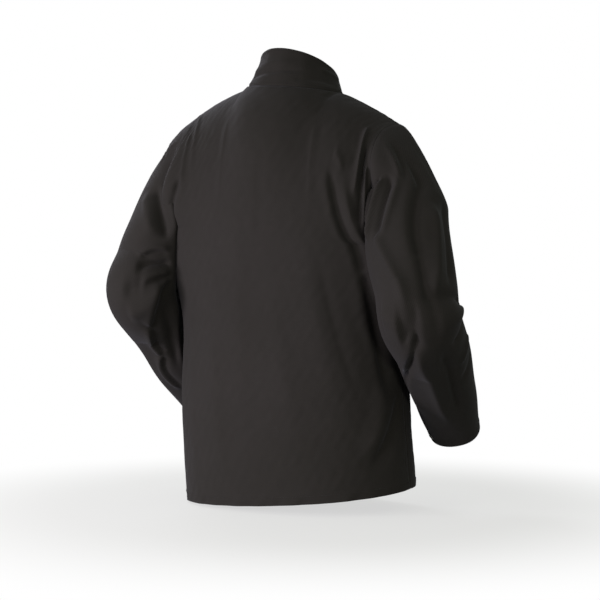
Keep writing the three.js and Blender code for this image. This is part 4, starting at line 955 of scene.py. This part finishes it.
placket_up = edge_places(0.0, PLACKET_TOP, 150, 0.02)
placket_x = edge_places(-PLACKET_HALF_WIDTH, PLACKET_HALF_WIDTH, 14, 0.002)
placket_xs, placket_ups = np.meshgrid(placket_x, placket_up)
placket_height = PLACKET_CLEARANCE + 0.0020 - 0.0006 * near_edge(
    PLACKET_HALF_WIDTH - np.abs(placket_xs), 0.003)
placket_height = placket_height + 0.0004 * (1 + ripple(placket_xs, placket_ups * 0.37, 0.05, 71))
placket_grid = front_place(placket_xs, placket_ups) + front_normal(placket_ups) * placket_height[..., None]
placket = cloth_mesh("placket_cloth", placket_grid, 0.0016, 1, False)
finish_cloth(placket, "front_placket")

steel = bpy.data.materials.new("snap_metal")
steel.use_nodes = True
steel_nodes = steel.node_tree.nodes
steel_links = steel.node_tree.links
steel_shader = steel_nodes["Principled BSDF"]
steel_place = add_node(steel_nodes, "ShaderNodeTexCoord")
steel_marks = add_node(steel_nodes, "ShaderNodeTexNoise", Scale=900.0, Detail=3.0)
steel_links.new(steel_place.outputs["Object"], steel_marks.inputs["Vector"])
steel_rough = add_node(steel_nodes, "ShaderNodeMapRange")
steel_rough.inputs["To Min"].default_value = 0.22
steel_rough.inputs["To Max"].default_value = 0.48
steel_links.new(steel_marks.outputs["Fac"], steel_rough.inputs["Value"])
steel_links.new(steel_rough.outputs[0], steel_shader.inputs["Roughness"])
steel_tone = add_node(steel_nodes, "ShaderNodeValToRGB")
steel_tone.color_ramp.elements[0].color = (0.30, 0.29, 0.28, 1)
steel_tone.color_ramp.elements[1].color = (0.48, 0.47, 0.45, 1)
steel_links.new(steel_marks.outputs["Fac"], steel_tone.inputs["Fac"])
steel_links.new(steel_tone.outputs["Color"], steel_shader.inputs["Base Color"])
steel_shader.inputs["Metallic"].default_value = 1.0

# A snap's cap in radius and height as shares: a rolled rim, a groove and a low dome.
SNAP_PROFILE = np.array([
    (0.000, 0.00), (0.900, 0.00), (0.985, 0.12), (1.000, 0.30), (0.985, 0.52), (0.940, 0.68), (0.860, 0.76),
    (0.790, 0.70), (0.745, 0.58), (0.700, 0.56), (0.655, 0.62), (0.560, 0.78), (0.400, 0.92), (0.200, 0.99),
    (0.000, 1.00),
])


def snap_cap(name, node, radius, height, place, normal):
    """A turned cap: the profile carried round the normal in 40 steps."""
    normal = normal / np.linalg.norm(normal)
    first = np.cross(normal, (0.0, 0.3, 1.0))
    first /= np.linalg.norm(first)
    second = np.cross(normal, first)
    turns = np.arange(40) / 40 * 2 * math.pi
    ring = np.cos(turns)[:, None] * first + np.sin(turns)[:, None] * second
    middle = place + normal * SNAP_CLEARANCE
    profile = SNAP_PROFILE[1:-1]
    body = middle + ring[None] * (profile[:, 0] * radius)[:, None, None] \
        + normal * (profile[:, 1] * height)[:, None, None]
    points = np.concatenate([body.reshape(-1, 3), [middle, middle + normal * height]])
    i, j = np.meshgrid(np.arange(len(profile) - 1), np.arange(40), indexing="ij")
    k = (j + 1) % 40
    quads = np.stack([i * 40 + j, i * 40 + k, (i + 1) * 40 + k, (i + 1) * 40 + j], -1).reshape(-1, 4)
    low = len(profile) * 40
    rim = np.arange(40)
    last = (len(profile) - 1) * 40
    caps = [(low, int(n), int(m)) for m, n in zip(rim, (rim + 1) % 40)]
    caps += [(low + 1, last + int(m), last + int(n)) for m, n in zip(rim, (rim + 1) % 40)]
    mesh = bpy.data.meshes.new(name)
    mesh.from_pydata(points.tolist(), [], [tuple(q) for q in quads.tolist()] + caps)
    mesh.polygons.foreach_set("use_smooth", np.ones(len(mesh.polygons), bool))
    cap = bpy.data.objects.new(name, mesh)
    bpy.context.collection.objects.link(cap)
    mesh.materials.append(steel)
    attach(cap, "root")
    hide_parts(node)
    return cap


ups = np.linspace(0, 2, 2001)
levels = front_place(0 * ups, ups)[:, 2]
for i in range(FRONT_SNAP_COUNT):
    level = blend(-NECK_FRONT_DROP - TOP_SNAP_DROP, -FRONT_LENGTH + BOTTOM_SNAP_RISE, i / (FRONT_SNAP_COUNT - 1))
    up = np.interp(level, levels, ups)
    normal = front_normal(up)
    face = front_place(np.float64(0), up) + normal * (PLACKET_CLEARANCE + 0.0026)
    snap_cap(f"front_snap_cap_{i + 1}", f"front_snap_{i + 1}", 0.0075, 0.0024, face, normal)

for name, side in (("left", 1), ("right", -1)):
    rows = sleeve_rows(side, SLEEVE_SECTIONS[name])
    at = rows[0][-1] - CUFF_SNAP_INSET
    place = sleeve_point(rows, side, at, CUFF_SNAP_TURN)
    along = sleeve_point(rows, side, at + 0.002, CUFF_SNAP_TURN) - place
    round_ = sleeve_point(rows, side, at, CUFF_SNAP_TURN + 0.01) - place
    snap_cap(f"{name}_cuff_snap_cap", f"{name}_cuff_snap", 0.006, 0.0024, place,
             np.cross(round_, along) * side)

# The stitching
# Rows of thread along the hems, the cuffs, the armholes, the side seams, the collar and the
# placket: short flat stitches that lie in the cloth a needle's pitch apart.
STITCH_PITCH = 0.0034
STITCH_LENGTH = 0.0024
STITCH_WIDTH = 0.0007
STITCH_HEIGHT = 0.0004


def stitch_row(points, normals):
    """The stitches along a line on the cloth, as eight corners each: places at an even pitch by
    arc length, and at each a low block with its top narrower than its foot."""
    steps = np.linalg.norm(np.diff(points, axis=0), axis=1)
    reach = np.concatenate([[0], np.cumsum(steps)])
    middles = np.arange(STITCH_PITCH, reach[-1] - STITCH_PITCH, STITCH_PITCH)
    place = np.stack([np.interp(middles, reach, points[:, k]) for k in range(3)], -1)
    ahead = np.stack([np.interp(middles + 0.0008, reach, points[:, k]) for k in range(3)], -1)
    up = np.stack([np.interp(middles, reach, normals[:, k]) for k in range(3)], -1)
    way = ahead - place
    way /= np.linalg.norm(way, axis=1, keepdims=True) + 1e-12
    side = np.cross(up, way)
    corners = []
    for height, share in ((-0.0003, 1.0), (STITCH_HEIGHT, 0.6)):
        for along, out in ((-1, -1), (1, -1), (1, 1), (-1, 1)):
            corners.append(place + up * height + way * along * share * STITCH_LENGTH / 2
                           + side * out * share * STITCH_WIDTH / 2)
    return np.stack(corners, axis=1).reshape(-1, 3)


def grid_row(grid, facing, ring, wanted):
    """The stitches along the row of a grid that lies wanted metres from its last row, or from
    its first row when wanted is below zero."""
    upward = np.linalg.norm(np.diff(grid, axis=0), axis=-1).mean(axis=1)
    reach = np.concatenate([[0], np.cumsum(upward)])
    row = int(np.argmin(np.abs(reach - (reach[-1] - wanted if wanted > 0 else -wanted))))
    normals = surface_normals(grid, facing, ring)
    closing = slice(0, 1 if ring else 0)
    return stitch_row(np.concatenate([grid[row], grid[row, closing]]),
                      np.concatenate([normals[row], normals[row, closing]]))


def grid_sides(grid, facing, wanted):
    """The stitches along the two columns of a grid that lie wanted metres from its sides."""
    across = np.linalg.norm(np.diff(grid, axis=1), axis=-1).mean(axis=0)
    reach = np.concatenate([[0], np.cumsum(across)])
    first = int(np.argmin(np.abs(reach - wanted)))
    last = int(np.argmin(np.abs(reach - (reach[-1] - wanted))))
    normals = surface_normals(grid, facing, False)
    return np.concatenate([stitch_row(grid[:, first], normals[:, first]),
                           stitch_row(grid[:, last], normals[:, last])])


thread_points = np.concatenate([
    grid_row(back_grid, -1, False, -HEM_DEPTH + 0.001),
    grid_row(left_front_grid, 1, False, -HEM_DEPTH + 0.001),
    grid_row(right_front_grid, 1, False, -HEM_DEPTH + 0.001),
    grid_row(back_grid, -1, False, STITCH_INSET),
    grid_sides(back_grid, -1, STITCH_INSET),
    grid_row(left_sleeve_grid, 1, True, HEM_DEPTH - 0.001),
    grid_row(right_sleeve_grid, -1, True, HEM_DEPTH - 0.001),
    grid_row(collar_grid, -1, False, STITCH_INSET),
    grid_row(collar_grid, -1, False, -0.009),
    grid_sides(placket_grid, 1, 0.004),
])
corner = np.arange(len(thread_points) // 8)[:, None, None] * 8
blocks = np.array([[0, 3, 2, 1], [4, 5, 6, 7], [0, 1, 5, 4], [1, 2, 6, 5], [2, 3, 7, 6], [3, 0, 4, 7]])
thread_faces = (corner + blocks[None]).reshape(-1, 4)
thread_mesh = bpy.data.meshes.new("seam_thread")
thread_mesh.from_pydata(thread_points.tolist(), [], thread_faces.tolist())
thread_mesh.uv_layers.new(name="weave")
thread_mesh.update()
thread = bpy.data.objects.new("seam_thread", thread_mesh)
bpy.context.collection.objects.link(thread)
thread_mesh.materials.append(cotton)
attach(thread, "root")
